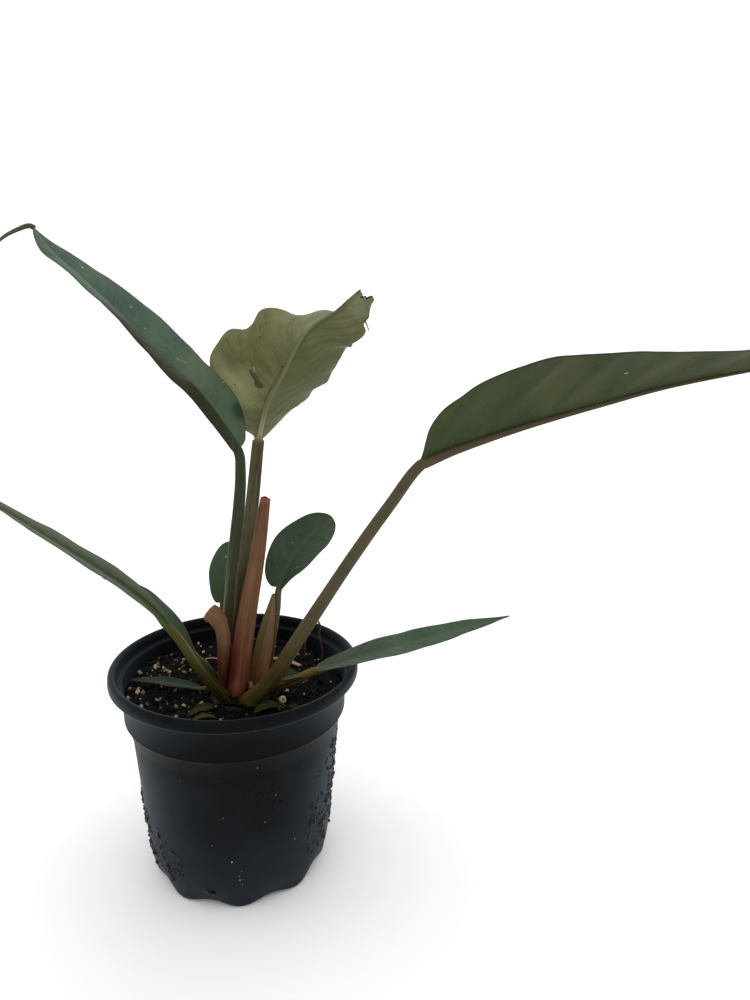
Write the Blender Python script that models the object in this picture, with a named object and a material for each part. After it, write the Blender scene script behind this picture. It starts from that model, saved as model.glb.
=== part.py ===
# A young red-sheathed philodendron in a black nursery pot, 165 mm across its rim.
# Metres, +Z up. The origin is the middle of the pot's flat underside, on the surface it stands on.
# -Y is the front. Positions below are in millimetres, and MM turns them into metres.

import math

import bmesh
import bpy
from mathutils import Matrix, Vector, geometry, noise

MM = 0.001
GAP = 0.3

# The pot: rim, rolled lip, shoulder band, step, tapering body and a base with eight feet.
POT_HEIGHT = 147.0
RIM_RADIUS = 82.5
LIP_DEPTH = 8.0
BAND_RADIUS = 75.0
BAND_LOW_RADIUS = 73.4
BAND_DEPTH = 32.0
STEP_DEPTH = 45.0
BODY_TOP_RADIUS = 68.8
BODY_LOW_RADIUS = 62.5
BODY_LOW_HEIGHT = 22.0
FOOT_RADIUS = 58.8
WALL = 1.6
FOOT_COUNT = 9
FOOT_TURN = math.radians(10)
NOTCH_DEPTH = 2.5
NOTCH_RISE = 2.8
NOTCH_FADE_HEIGHT = 20.0
DRAIN_RADIUS = 3.5
DRAIN_RING = 46.5
POT_SIDES = 54

# The potting mix, and the plain round hole in it that the crown stands in.
SOIL_TOP = 126.5
SOIL_BUMP = 2.2
SOIL_GRAIN = 24.0
CROWN_CENTRE = (5.0, -12.0)
CROWN_RADIUS = 20.0
CROWN_BOTTOM = 96.0
CROWN_TOP = 130.0
CROWN_SEAT = CROWN_TOP + GAP

BLADE_THICKNESS = 0.7
LEVEL_CUT = 0.5
RIB_SPREAD = 2.4
LOBE_REACH = 0.09
EDGE_CROWDING = 1.35

# Each petiole: its route from the crown, its width and depth at its foot and at its top, the size of its
# sheath wings and the share of its length that they reach, and the way its grooved upper side faces.
PETIOLES = {
    "upper_left": dict(
        finish="petiole_olive",
        route=[(-6, -3, CROWN_SEAT), (-5.7, -4.5, 156), (-3.8, -5.5, 174.5), (-1.5, -7.8, 193),
               (1.1, -11, 211), (4.2, -14, 230), (9.7, -22, 263.3), (11.6, -26, 282.8), (10.8, -28, 295)],
        width=(10, 6), depth=(8, 5), wing=(0.25, 0.3), face=((-1, 0, 0), (0.3, -0.5, 0.4))),
    "top": dict(
        finish="petiole_green",
        route=[(4.6, 0.8, CROWN_SEAT), (4, 1.8, 159.5), (5.4, 5, 188), (7.5, 9.5, 217.5), (11.5, 15, 254),
               (15.5, 20, 293)],
        width=(11, 8), depth=(8, 6), wing=(0.25, 0.3), face=((0, 1, 0), (-0.3, 0.9, 0.3))),
    "right": dict(
        finish="petiole_olive",
        route=[(13, -25, CROWN_SEAT), (28, -30.5, 148), (48, -44, 184), (78, -60, 237), (100, -72, 275),
               (115.6, -80, 300.3)],
        width=(16.5, 7.6), depth=(10.5, 6.4), wing=(0.2, 0.3), face=((-0.6, 0.2, 0.5), (-0.5, 0.3, 0.8))),
    "low_left": dict(
        finish="petiole_green",
        route=[(-2.5, -24.5, CROWN_SEAT), (-12, -31, 148), (-19, -36, 163), (-26, -40, 178.5),
               (-32, -44, 190)],
        width=(11.4, 7.2), depth=(8, 5.6), wing=(0.25, 0.5), face=((0.7, 0.1, 0.5), (0.5, 0.4, 0.7))),
    "slim_left": dict(
        finish="petiole_green",
        route=[(-11.5, -3, CROWN_SEAT), (-19, -1, 142), (-28, 0, 151)],
        width=(6, 3.6), depth=(5, 3), wing=(0.2, 0.5), face=((0.6, 0, 0.7), (0.6, 0, 0.7))),
    "soil_left": dict(
        finish="petiole_green",
        route=[(-13.4, -11.5, 132.3), (-17, -12, 132), (-21, -11.5, 131)],
        width=(4, 3.2), depth=(3.4, 2.6), wing=(0.1, 0.5), face=((0, 0, 1), (0, 0, 1))),
    "low_right": dict(
        finish="petiole_green",
        route=[(19, -15, 133), (30, -15, 136), (43, -14.5, 140.5), (54, -14, 146)],
        width=(7, 4.4), depth=(5, 3.4), wing=(0.35, 0.55), face=((-0.3, 0, 0.9), (-0.3, 0, 0.9))),
    "oval_right": dict(
        finish="sheath_olive",
        route=[(19, -3.5, CROWN_SEAT), (22.6, -2.6, 148), (25.6, -0.8, 166), (28.2, 1.8, 183), (29.5, 4, 196.5)],
        width=(6.4, 3.6), depth=(5.6, 3), wing=(0.3, 0.5), face=((-0.8, -0.6, 0), (-0.5, -0.8, 0.2))),
    "oval_back": dict(
        finish="petiole_green",
        route=[(-3, 4, CROWN_SEAT), (-6, 10, 148), (-11, 20, 165), (-14, 28, 176)],
        width=(5, 3.2), depth=(4.4, 2.6), wing=(0.3, 0.5), face=((0.3, -0.9, 0), (0.2, -0.9, 0.2))),
}

# Each blade: its midrib's route, the way its upper side faces at the base and the tip, half its greatest
# width, where along it that is, how blunt its base and how drawn out its tip are, the share of its length
# that is left, half its width where it meets the petiole, how far each half folds up in degrees at the base
# and the tip (its left half first) and how late along it the fold steepens, how much each half bends on, the
# margins' scallops and waves, the basal lobes, and the rise of the rib under the midrib.
BLADES = {
    "upper_left": dict(
        finish="blue_green",
        midrib=[(10.8, -28, 295), (2, -28.5, 313), (-9.6, -28.5, 332), (-22, -28, 342), (-44.6, -26.5, 360.5),
                (-67.5, -24.5, 382.5), (-92.5, -22, 407), (-102, -19.6, 418.5)],
        face=((0.64, -0.5, 0.58), (0.7, -0.14, 0.7)), half_width=26.5, widest=0.42, blunt=0.56, drawn=0.62,
        foot=3, fold=((29, 29), (7, 7)), curl=-6, scallop=0.6, wave=(1.2, 1.0), waves=5.5,
        phase=(0.3, 1.4), lobe=6, rib=3.2, rows=24, columns=10),
    "top": dict(
        finish="under_olive",
        midrib=[(15.5, 20, 293), (21, 6, 310.5), (27.3, -6.3, 325), (35.6, -17.5, 337), (43.3, -27, 350),
                (50.5, -35.5, 361.5), (59, -42.5, 369.5), (69.3, -48, 375.5), (76, -52, 381),
                (82, -55.5, 386)],
        face=((-0.41, 0.59, 0.69), (0.37, 0.81, -0.45)), half_width=41, widest=0.46, blunt=0.46, drawn=1.0,
        left=0.82, torn=4, foot=3.3, fold=((7, 55), (8, 100)), late=1.6, curl=36, scallop=2, wave=(2, 4),
        waves=5, phase=(0.5, 1.0), lobe=1.5, rib=3.6, rows=28, columns=12),
    "right": dict(
        finish="under_green",
        midrib=[(115.6, -80, 300.3), (135.4, -76, 305), (173, -73, 317.5), (211.8, -73.5, 330.3),
                (242.8, -77, 340), (280, -84, 349.7), (322.4, -94, 360)],
        face=((-0.22, 0.81, 0.54), (-0.17, 0.4, 0.9)), half_width=43, widest=0.43, blunt=0.48, drawn=1.1,
        foot=3.2, fold=((42, 42), (6, 6)), curl=-2, scallop=0.8, wave=(1.6, 1.6), waves=4.5,
        phase=(0.8, 2.2), lobe=1.5, rib=3.4, rows=26, columns=10),
    "low_left": dict(
        finish="strap_green",
        midrib=[(-32, -44, 190), (-38, -44.5, 199.5), (-48.6, -46, 211.5), (-66, -48, 226),
                (-95, -51.6, 247.5), (-120, -56, 266), (-148.6, -61, 283)],
        face=((0.34, 0.84, 0.42), (0.35, 0.67, 0.65)), half_width=16, widest=0.4, blunt=0.59, drawn=0.79,
        foot=2.8, fold=((1, 1), (18, 18)), curl=-18, scallop=0.3, wave=(0.8, 0.8), waves=4,
        lobe=2, rib=2.6, rows=20, columns=8),
    "slim_left": dict(
        finish="strap_green",
        midrib=[(-28, 0, 151), (-38.6, 6, 165), (-53, 12, 178), (-66, 18, 186), (-81, 23, 191),
                (-96, 28, 193)],
        face=((0.5, -0.5, 0.7), (0.2, -0.4, 1)), half_width=4.6, widest=0.5, blunt=0.7, drawn=0.9,
        foot=1.6, fold=((25, 20), (25, 20)), curl=5, scallop=0.2, wave=(0.5, 0.5), waves=3,
        lobe=1, rib=1.8, rows=16, columns=6),
    "soil_left": dict(
        finish="strap_green",
        midrib=[(-21, -11.5, 131), (-34, -9, 132.2), (-48, -6.5, 132.8), (-60, -4.5, 132.8), (-70.5, -3.5, 132.4)],
        face=((0, -0.2, 1), (0, -0.2, 1)), half_width=4.2, widest=0.45, blunt=0.6, drawn=0.8,
        foot=1.4, fold=((12, 12), (12, 12)), curl=5, scallop=0.2, wave=(0.3, 0.3), waves=2,
        lobe=0.6, rib=1.2, rows=12, columns=6),
    "low_right": dict(
        finish="strap_green",
        midrib=[(54, -14, 146), (77.4, -7, 151.4), (98, -3, 156.4), (120, 1, 161), (146, 7.5, 166.5),
                (166, 11, 171), (185, 14, 175.3)],
        face=((-0.22, 0.08, 0.97), (-0.09, -0.49, 0.87)), half_width=12.5, widest=0.41, blunt=0.52,
        drawn=1.05, foot=2, fold=((9, 9), (11, 11)), curl=-2, scallop=0.3, wave=(0.7, 0.7), waves=4,
        lobe=1.8, rib=2, rows=20, columns=8),
    "oval_right": dict(
        finish="oval_green",
        midrib=[(29.5, 4, 196.8), (34.3, 9.5, 209), (42.5, 15, 221.5), (52.5, 19, 232), (64, 22, 240.5)],
        face=((-0.34, -0.78, 0.52), (0.3, -0.95, 0.06)), half_width=17.5, widest=0.54, blunt=0.42, drawn=0.46,
        foot=1.6, fold=((17, 17), (32, 32)), curl=18, scallop=0.3, wave=(0.5, 0.5), waves=2,
        lobe=1, rib=1.6, rows=16, columns=8),
    "oval_back": dict(
        finish="oval_green",
        midrib=[(-14, 28, 176), (-12.2, 32, 190), (-9.7, 36, 204), (-6, 39, 217.5)],
        face=((0.1, -0.95, 0.25), (0.1, -0.95, 0.25)), half_width=12, widest=0.5, blunt=0.5, drawn=0.45,
        foot=1.4, fold=((12, 6), (12, 6)), curl=-5, scallop=0.2, wave=(0.4, 0.4), waves=2,
        lobe=2, rib=1.6, rows=14, columns=8),
}

# A blade that says nothing else is whole, folds evenly and has these phases of its margins' waves.
WHOLE_BLADE = dict(left=1, torn=0, late=1, phase=(0, 1))

# The small leaves that lie on the mix round the crown: two ends of the midrib seen from above, half the
# greatest width, the middle's lift above the mix, and the finish.
LITTER = {
    "small_leaf_front_left": ((-7, -31.5), (-22, -42), 4.2, 2.5, "young_green"),
    "small_leaf_yellow": ((-5, -43), (-19.5, -50), 2.4, 1, "yellow_green"),
    "small_leaf_front_right": ((18, -36.5), (36, -30), 4.6, 2.5, "young_green"),
    "small_leaf_round": ((27, 15), (40, 20), 6.5, 2, "young_green"),
    "small_leaf_tiny": ((38, -26.5), (46, -28.5), 2.4, 1, "young_green"),
    "small_leaf_back_left": ((-10, 6), (-19, 16), 3, 2.5, "young_green"),
}

# Base colour and roughness of each kind of surface.
COLOURS = {
    "black_plastic": ((0.016, 0.019, 0.024), 0.45),
    "potting_mix": ((0.014, 0.011, 0.009), 0.95),
    "blue_green": ((0.035, 0.085, 0.062), 0.5),
    "under_olive": ((0.15, 0.15, 0.075), 0.5),
    "under_green": ((0.10, 0.13, 0.065), 0.5),
    "strap_green": ((0.05, 0.10, 0.04), 0.5),
    "oval_green": ((0.035, 0.06, 0.035), 0.5),
    "sheath_olive": ((0.16, 0.11, 0.06), 0.5),
    "young_green": ((0.04, 0.085, 0.06), 0.5),
    "petiole_olive": ((0.10, 0.095, 0.05), 0.5),
    "petiole_green": ((0.05, 0.065, 0.035), 0.5),
    "sheath_red": ((0.30, 0.12, 0.075), 0.5),
    "sheath_tan": ((0.34, 0.20, 0.11), 0.6),
    "dry_brown": ((0.14, 0.06, 0.035), 0.7),
    "dry_pink": ((0.45, 0.27, 0.2), 0.7),
    "yellow_green": ((0.18, 0.16, 0.05), 0.6),
    "pale_stone": ((0.55, 0.45, 0.33), 0.85),
}


def clear_scene():
    for obj in list(bpy.data.objects):
        bpy.data.objects.remove(obj, do_unlink=True)


def material(name):
    made = bpy.data.materials.get(name)
    if made:
        return made
    colour, roughness = COLOURS[name]
    made = bpy.data.materials.new(name)
    made.use_nodes = True
    shader = made.node_tree.nodes["Principled BSDF"]
    shader.inputs["Base Color"].default_value = (*colour, 1)
    shader.inputs["Roughness"].default_value = roughness
    shader.inputs["Metallic"].default_value = 0
    return made


def add_object(name, mesh, finish):
    # One closed body from the given bmesh, with its faces pointing out and its points turned to metres.
    bmesh.ops.scale(mesh, vec=(MM, MM, MM), verts=mesh.verts)
    bmesh.ops.recalc_face_normals(mesh, faces=mesh.faces)
    data = bpy.data.meshes.new(name)
    mesh.to_mesh(data)
    mesh.free()
    data.materials.append(material(finish))
    data.shade_smooth()
    data.set_sharp_from_angle(angle=math.radians(50))
    obj = bpy.data.objects.new(name, data)
    bpy.context.collection.objects.link(obj)
    return obj


def mix(a, b, share):
    return a + (b - a) * share


def smooth_route(points, fractions, before=None, after=None):
    # Points, and the ways ahead, at the given shares of the length of the smooth curve through a route's
    # points. A point before or after the route leads the curve into what it grows out of or on into.
    points = [Vector(point) for point in points]
    before = Vector(before) if before else 2 * points[0] - points[1]
    after = Vector(after) if after else 2 * points[-1] - points[-2]
    ends = [before] + points + [after]
    fine = []
    for i in range(1, len(ends) - 2):
        leaving = ends[i] + (ends[i + 1] - ends[i - 1]) / 6
        arriving = ends[i + 1] - (ends[i + 2] - ends[i]) / 6
        piece = geometry.interpolate_bezier(ends[i], leaving, arriving, ends[i + 1], 24)
        fine += piece if i == 1 else piece[1:]
    lengths = [0.0]
    for a, b in zip(fine, fine[1:]):
        lengths.append(lengths[-1] + (b - a).length)
    found = []
    ahead = []
    at = 0
    for fraction in fractions:
        wanted = fraction * lengths[-1]
        while at < len(fine) - 2 and lengths[at + 1] < wanted:
            at += 1
        share = (wanted - lengths[at]) / (lengths[at + 1] - lengths[at])
        found.append(fine[at].lerp(fine[at + 1], share))
        ahead.append((fine[at + 1] - fine[at]).normalized())
    return found, ahead


def frames_along(ways, face):
    # The way ahead, the side and the upper side at each point of a route.
    frames = []
    for i, ahead in enumerate(ways):
        upper = Vector(face[0]).normalized().lerp(Vector(face[1]).normalized(), i / (len(ways) - 1))
        upper = (upper - upper.dot(ahead) * ahead).normalized()
        frames.append((ahead, ahead.cross(upper), upper))
    return frames


def tube_mesh(stations, sides, place):
    # A closed tube: place(station, angle) gives each point of its skin, and flat caps close its ends.
    mesh = bmesh.new()
    bmesh.ops.create_grid(mesh, x_segments=stations, y_segments=sides, size=1)
    for vert in mesh.verts:
        station = round((vert.co.x + 1) / 2 * stations)
        angle = (vert.co.y + 1) * math.pi
        vert.co = place(station, angle)
    bmesh.ops.remove_doubles(mesh, verts=mesh.verts, dist=0.001)
    bmesh.ops.dissolve_degenerate(mesh, edges=mesh.edges, dist=0.001)
    bmesh.ops.holes_fill(mesh, edges=mesh.edges, sides=0)
    bmesh.ops.triangulate(mesh, faces=mesh.faces)
    return mesh


def stalk(name, finish, route, width, depth, wing, face, after=None, taper=0.8, stations=10, sides=12):
    # A petiole: grooved along its upper side, with sheath wings at its foot that fade upwards. A steep one
    # is cut level at its foot, where it stands on the crown.
    shares = [i / stations for i in range(stations + 1)]
    points, ways = smooth_route(route, shares, after=after)
    frames = frames_along(ways, face)
    wing_size, wing_reach = wing

    def place(station, angle):
        share = shares[station]
        ahead, side, upper = frames[station]
        half_width = mix(width[0], width[1], share ** taper) / 2
        half_depth = mix(depth[0], depth[1], share ** taper) / 2
        fade = max(0.0, 1 - share / wing_reach) ** 0.7
        groove = (0.12 + 0.35 * fade) * math.exp(-((angle - math.pi / 2) / 0.45) ** 2)
        wings = sum(math.exp(-((angle - math.pi / 2 + turn) / 0.3) ** 2) for turn in (-0.85, 0.85))
        reach = 1 - groove + wing_size * fade * wings
        offset = reach * (half_width * math.cos(angle) * side + half_depth * math.sin(angle) * upper)
        if station == 0 and ahead.z > LEVEL_CUT:
            offset -= ahead * offset.z / ahead.z
        return points[station] + offset

    add_object(name, tube_mesh(stations, sides, place), finish)


def sheet_mesh(rows, columns, place, thickness, ahead):
    # A thin closed sheet. place(row, across) gives its upper side, and thickness(row, across) what lies under
    # it. Its first edge is square to the way ahead, so that it meets a petiole's end without a lip.
    mesh = bmesh.new()
    bmesh.ops.create_grid(mesh, x_segments=rows, y_segments=columns, size=1)
    bmesh.ops.triangulate(mesh, faces=mesh.faces, quad_method="SHORT_EDGE")
    thick = {}
    first_edge = set()
    for vert in mesh.verts:
        row = round((vert.co.x + 1) / 2 * rows)
        across = math.copysign(abs(vert.co.y) ** EDGE_CROWDING, vert.co.y)
        vert.co = place(row, across)
        thick[vert.index] = thickness(row, across)
        if row == 0:
            first_edge.add(vert.index)
    bmesh.ops.recalc_face_normals(mesh, faces=mesh.faces)
    mesh.normal_update()
    centre = min(mesh.verts, key=lambda vert: (vert.co - place(rows // 2, 0)).length)
    along = place(rows // 2 + 1, 0) - place(rows // 2, 0)
    side = place(rows // 2, 0.5) - place(rows // 2, -0.5)
    down = -1 if centre.normal.dot(along.cross(side)) < 0 else 1
    underside = {}
    for vert in mesh.verts:
        way = down * vert.normal
        if vert.index in first_edge:
            way = (way - way.dot(ahead) * ahead).normalized()
        underside[vert.co.copy().freeze()] = vert.co + way * thick[vert.index]
    for item in bmesh.ops.extrude_face_region(mesh, geom=mesh.faces[:])["geom"]:
        if isinstance(item, bmesh.types.BMVert):
            item.co = underside[item.co.copy().freeze()]
    return mesh


def row_shares(rows):
    # Rows crowd a little towards both ends of a sheet.
    return [mix(i / rows, (1 - math.cos(math.pi * i / rows)) / 2, 0.5) for i in range(rows + 1)]


def sheet_point(point, frame, across, width, fold, bend):
    # A point across a sheet whose halves leave its middle at the fold's angle and bend on from there.
    ahead, side, upper = frame
    hand = math.copysign(1, across)
    bend = bend if abs(bend) > 1e-4 else 1e-4
    end = fold + bend * abs(across)
    outward = (math.sin(end) - math.sin(fold)) / bend
    raised = (math.cos(fold) - math.cos(end)) / bend
    normal = upper * math.cos(end) - side * hand * math.sin(end)
    return point + width * (outward * hand * side + raised * upper), normal


def blade(name, leaf):
    # A leaf blade: two halves folded up from the midrib, with waved margins and a ridge under the midrib.
    leaf = {**WHOLE_BLADE, **leaf}
    rows = leaf["rows"]
    shares = row_shares(rows)
    points, ways = smooth_route(leaf["midrib"], shares, before=leaf.get("before"))
    frames = frames_along(ways, leaf["face"])
    seat = GAP * ways[0]
    widest = leaf["widest"]

    def half_width(share):
        grown = share * leaf["left"]
        outline = (grown / widest) ** leaf["blunt"] * ((1 - grown) / (1 - widest)) ** leaf["drawn"]
        return math.hypot(leaf["half_width"] * outline, mix(leaf["foot"], 0.5, share))

    def ripple(share, hand, turn):
        swell = max(0.0, math.sin(math.pi * share)) ** 0.5
        return swell * math.sin(2 * math.pi * leaf["waves"] * share + leaf["phase"][hand] + turn)

    def place(row, across):
        share = shares[row]
        hand = 0 if across < 0 else 1
        fold = math.radians(mix(leaf["fold"][hand][0], leaf["fold"][hand][1], share ** leaf["late"]))
        width = half_width(share) + leaf["scallop"] * across ** 2 * ripple(share, hand, math.pi / 2)
        point, normal = sheet_point(points[row], frames[row], across, width, fold, math.radians(leaf["curl"]))
        wave = leaf["wave"][hand] * across ** 2 * ripple(share, hand, 0)
        beyond = half_width(share) * abs(across) / leaf["foot"] - 1.3
        back = leaf["lobe"] * min(1.0, max(0.0, beyond / 2)) * math.exp(-share / LOBE_REACH)
        near_tip = max(0.0, share - 0.9) * 10
        ragged = leaf["torn"] * near_tip * math.sin(9 * across + 1.2) * (across ** 2 + 0.3)
        return point + wave * normal + (ragged - back) * frames[row][0] + seat

    def thickness(row, across):
        share = shares[row]
        ridge = math.exp(-(across * half_width(share) / RIB_SPREAD) ** 2)
        return BLADE_THICKNESS + leaf["rib"] * ridge * (1 - share) ** 0.9

    add_object(name, sheet_mesh(rows, leaf["columns"], place, thickness, ways[0]), leaf["finish"])


def frames_beside(ways, sides, turned):
    # The same as frames_along, from the way that the strip's side points, which turns from the first to the
    # last of two ways until the given share of the length.
    frames = []
    for i, ahead in enumerate(ways):
        share = min(1.0, i / (len(ways) - 1) / turned)
        side = Vector(sides[0]).normalized().lerp(Vector(sides[1]).normalized(), share)
        side = (side - side.dot(ahead) * ahead).normalized()
        frames.append((ahead, side, side.cross(ahead)))
    return frames


def ribbon(name, finish, route, half_widths, bends, thickness, face=None, sides=None, turned=1, rows=14,
           columns=6):
    # A strip of sheath, bent into a channel across. Both run from their first to their last value.
    shares = row_shares(rows)
    points, ways = smooth_route(route, shares)
    frames = frames_along(ways, face) if face else frames_beside(ways, sides, turned)

    def place(row, across):
        bend = math.radians(mix(bends[0], bends[1], shares[row]))
        width = mix(half_widths[0], half_widths[1], shares[row])
        return sheet_point(points[row], frames[row], across, width, 0, bend)[0]

    add_object(name, sheet_mesh(rows, columns, place, lambda row, across: thickness, ways[0]), finish)


def thread(name, finish, route, radius, count=14):
    # A thin round root or tail along a smooth route, with its ends closed.
    data = bpy.data.curves.new(name, "CURVE")
    data.dimensions = "3D"
    data.bevel_depth = radius * MM
    data.bevel_resolution = 1
    data.use_fill_caps = True
    spline = data.splines.new("POLY")
    spline.points.add(count)
    for i, point in enumerate(smooth_route(route, [i / count for i in range(count + 1)])[0]):
        spline.points[i].co = (*(point * MM), 1)
    obj = bpy.data.objects.new(name, data)
    bpy.context.collection.objects.link(obj)
    data.materials.append(material(finish))


def lobe_share(angle):
    # 0 on a foot of the pot's base and 1 in the middle of a notch. The angle is taken from +X towards +Y.
    turned = angle + math.pi / 2 - FOOT_TURN
    return (1 - math.cos(FOOT_COUNT * turned)) / 2


def pot_point(radius, height, angle):
    # A point of the pot's skin, drawn in and raised where a notch cuts its base's corner.
    near_base = max(0.0, 1 - height / NOTCH_FADE_HEIGHT) ** 1.5
    at_corner = min(1.0, max(0.0, (radius - 44) / 10))
    notch = lobe_share(angle) * near_base * at_corner
    reach = radius - NOTCH_DEPTH * notch
    return Vector((reach * math.cos(angle), reach * math.sin(angle), height + NOTCH_RISE * notch))


def step_profile():
    # The step's outer side, from the body up to the band.
    low = POT_HEIGHT - STEP_DEPTH
    return [(BODY_TOP_RADIUS, low), (BODY_TOP_RADIUS + 1.6, low + 6), (BODY_TOP_RADIUS + 3.2, low + 11)]


def inner_profile(clearance):
    # The pot's inner wall from under its lip down to its floor, moved inwards by a clearance.
    inset = WALL + clearance
    middle_radius = mix(BODY_LOW_RADIUS, BODY_TOP_RADIUS, 0.5)
    middle_height = mix(BODY_LOW_HEIGHT, POT_HEIGHT - STEP_DEPTH, 0.5)
    return [
        (BAND_RADIUS - inset, POT_HEIGHT - LIP_DEPTH - 1),
        (BAND_LOW_RADIUS - inset, POT_HEIGHT - BAND_DEPTH + 0.6),
        *((radius - inset, height) for radius, height in reversed(step_profile())),
        (middle_radius - inset, middle_height),
        (BODY_LOW_RADIUS - inset, BODY_LOW_HEIGHT),
        (FOOT_RADIUS + 1.2 - inset, 8),
        (FOOT_RADIUS - 1.6 - inset, WALL + clearance + 1.2),
        (FOOT_RADIUS - 5 - inset, WALL + clearance),
        (44, WALL + clearance),
    ]


def turned_mesh(profile, place):
    # A closed body turned about the pot's axis, whose profile starts and ends on the axis.
    return tube_mesh(len(profile) - 1, POT_SIDES, lambda station, angle: place(*profile[station], angle))


def make_pot():
    top = POT_HEIGHT
    outside = [
        (0, 0), (44, 0), (FOOT_RADIUS - 2.5, 0), (FOOT_RADIUS - 0.6, 0.8), (FOOT_RADIUS + 0.2, 2.6),
        (FOOT_RADIUS + 1.2, 8), (BODY_LOW_RADIUS, BODY_LOW_HEIGHT),
        (mix(BODY_LOW_RADIUS, BODY_TOP_RADIUS, 0.5), mix(BODY_LOW_HEIGHT, top - STEP_DEPTH, 0.5)),
        *step_profile(), (BAND_LOW_RADIUS - 0.3, top - BAND_DEPTH - 0.5), (BAND_LOW_RADIUS, top - BAND_DEPTH + 0.6),
        (BAND_RADIUS, top - LIP_DEPTH - 1.5), (RIM_RADIUS - 3.5, top - LIP_DEPTH - 0.4),
        (RIM_RADIUS - 0.6, top - LIP_DEPTH + 0.6), (RIM_RADIUS, top - LIP_DEPTH + 2),
        (RIM_RADIUS - 0.3, top - 2), (RIM_RADIUS - 1.6, top - 0.4), (RIM_RADIUS - 3, top),
        (RIM_RADIUS - 4.6, top - 0.9),
        (RIM_RADIUS - 5.6, top - 3.4), (RIM_RADIUS - 5.9, top - LIP_DEPTH + 0.8),
        (BAND_RADIUS - WALL + 0.5, top - LIP_DEPTH),
    ]
    inside = inner_profile(0) + [(0, WALL)]
    pot = add_object("pot", turned_mesh(outside + inside, pot_point), "black_plastic")

    drills = bmesh.new()
    for i in range(FOOT_COUNT):
        angle = FOOT_TURN - math.pi / 2 + math.tau * (i + 0.5) / FOOT_COUNT
        place = Matrix.Translation((DRAIN_RING * math.cos(angle), DRAIN_RING * math.sin(angle), 0))
        bmesh.ops.create_cone(drills, cap_ends=True, segments=12, radius1=DRAIN_RADIUS, radius2=DRAIN_RADIUS,
                              depth=16, matrix=place)
    cutter = add_object("drain_drills", drills, "black_plastic")
    cutter.hide_render = True
    cutter.display_type = "WIRE"
    drains = pot.modifiers.new("drains", "BOOLEAN")
    drains.operation = "DIFFERENCE"
    drains.object = cutter


def soil_height(x, y):
    # The lumpy top of the potting mix.
    lumps = noise.noise(Vector((x, y, 0)) / SOIL_GRAIN)
    crumbs = noise.noise(Vector((x, y, 40)) / (SOIL_GRAIN * 0.45))
    return SOIL_TOP + SOIL_BUMP * (lumps + 0.5 * crumbs)


def make_soil():
    hole = CROWN_RADIUS + GAP
    wall_radius = BAND_LOW_RADIUS - WALL - GAP + 0.5
    rings = [mix(hole + 0.8, wall_radius, i / 8) for i in range(9)]
    walls = inner_profile(GAP)[1:]
    profile = [("floor", 0, CROWN_BOTTOM - GAP), ("floor", hole, CROWN_BOTTOM - GAP), ("edge", hole, 0)]
    profile += [("top", radius, 0) for radius in rings]
    profile += [("wall", radius, height) for radius, height in walls] + [("wall", 0, WALL + GAP)]

    def place(kind, radius, height, angle):
        if kind == "wall":
            return pot_point(radius, height, angle)
        centred = 1 if kind != "top" else 1 - ((radius - hole) / (wall_radius - hole)) ** 1.5
        x = CROWN_CENTRE[0] * centred + radius * math.cos(angle)
        y = CROWN_CENTRE[1] * centred + radius * math.sin(angle)
        if kind == "floor":
            return Vector((x, y, height))
        lowered = 0.8 if kind == "edge" else 0
        return Vector((x, y, soil_height(x, y) - lowered))

    mesh = tube_mesh(len(profile) - 1, POT_SIDES, lambda station, angle: place(*profile[station], angle))
    add_object("potting_mix", mesh, "potting_mix")


def make_crown():
    # The short stem, whose flat top the petioles and the spear stand on.
    profile = [(0, CROWN_BOTTOM + GAP), (CROWN_RADIUS * 0.55, CROWN_BOTTOM + GAP),
               (CROWN_RADIUS * 0.9, CROWN_BOTTOM + 4), (CROWN_RADIUS, CROWN_BOTTOM + 9),
               (CROWN_RADIUS, CROWN_TOP - 2.5), (CROWN_RADIUS - 0.7, CROWN_TOP - 0.9),
               (CROWN_RADIUS - 2.2, CROWN_TOP), (0, CROWN_TOP)]

    def place(station, angle):
        radius, height = profile[station]
        x, y = CROWN_CENTRE
        return Vector((x + radius * math.cos(angle), y + radius * math.sin(angle), height))

    add_object("crown_stem", tube_mesh(len(profile) - 1, 32, place), "petiole_olive")


def make_litter():
    # Small leaves resting on the mix, with the ends of their midribs on it.
    for name, (base, tip, half_width, lift, finish) in LITTER.items():
        midrib = []
        for i in range(5):
            share = i / 4
            x = mix(base[0], tip[0], share)
            y = mix(base[1], tip[1], share)
            midrib.append((x, y, soil_height(x, y) + 1.4 + 4 * lift * share * (1 - share)))
        blade(name, dict(
            finish=finish, midrib=midrib, face=((0, 0, 1), (0, 0, 1)), half_width=half_width, widest=0.48,
            blunt=0.55, drawn=0.7, foot=0.8, fold=((14, 10), (14, 10)), curl=-8, scallop=0.2, wave=(0.2, 0.2), waves=2,
            lobe=0.5, rib=0.5, rows=8, columns=4))


def make_scrap_and_lump():
    # A dry curl of old sheath and a pale rounded lump, both resting on the mix.
    route = []
    for i in range(4):
        x = mix(19, 41, i / 3)
        y = mix(40, 28, i / 3)
        route.append((x, y, soil_height(x, y) + 3 + 1.5 * math.sin(math.pi * i / 3)))
    ribbon("dry_sheath_scrap", "dry_pink", route, (2.6, 2), (-60, -40), 0.8, face=((0, 0, 1), (0.3, 0, 1)),
           rows=8, columns=4)

    x, y = 34, -21
    lump = bmesh.new()
    bmesh.ops.create_icosphere(lump, subdivisions=2, radius=2.6)
    for vert in lump.verts:
        vert.co *= 1 + 0.2 * noise.noise(vert.co * 0.5)
    low = min(vert.co.z for vert in lump.verts)
    bmesh.ops.translate(lump, vec=(x, y, soil_height(x, y) + 0.5 - low), verts=lump.verts)
    add_object("pale_lump", lump, "pale_stone")


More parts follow.
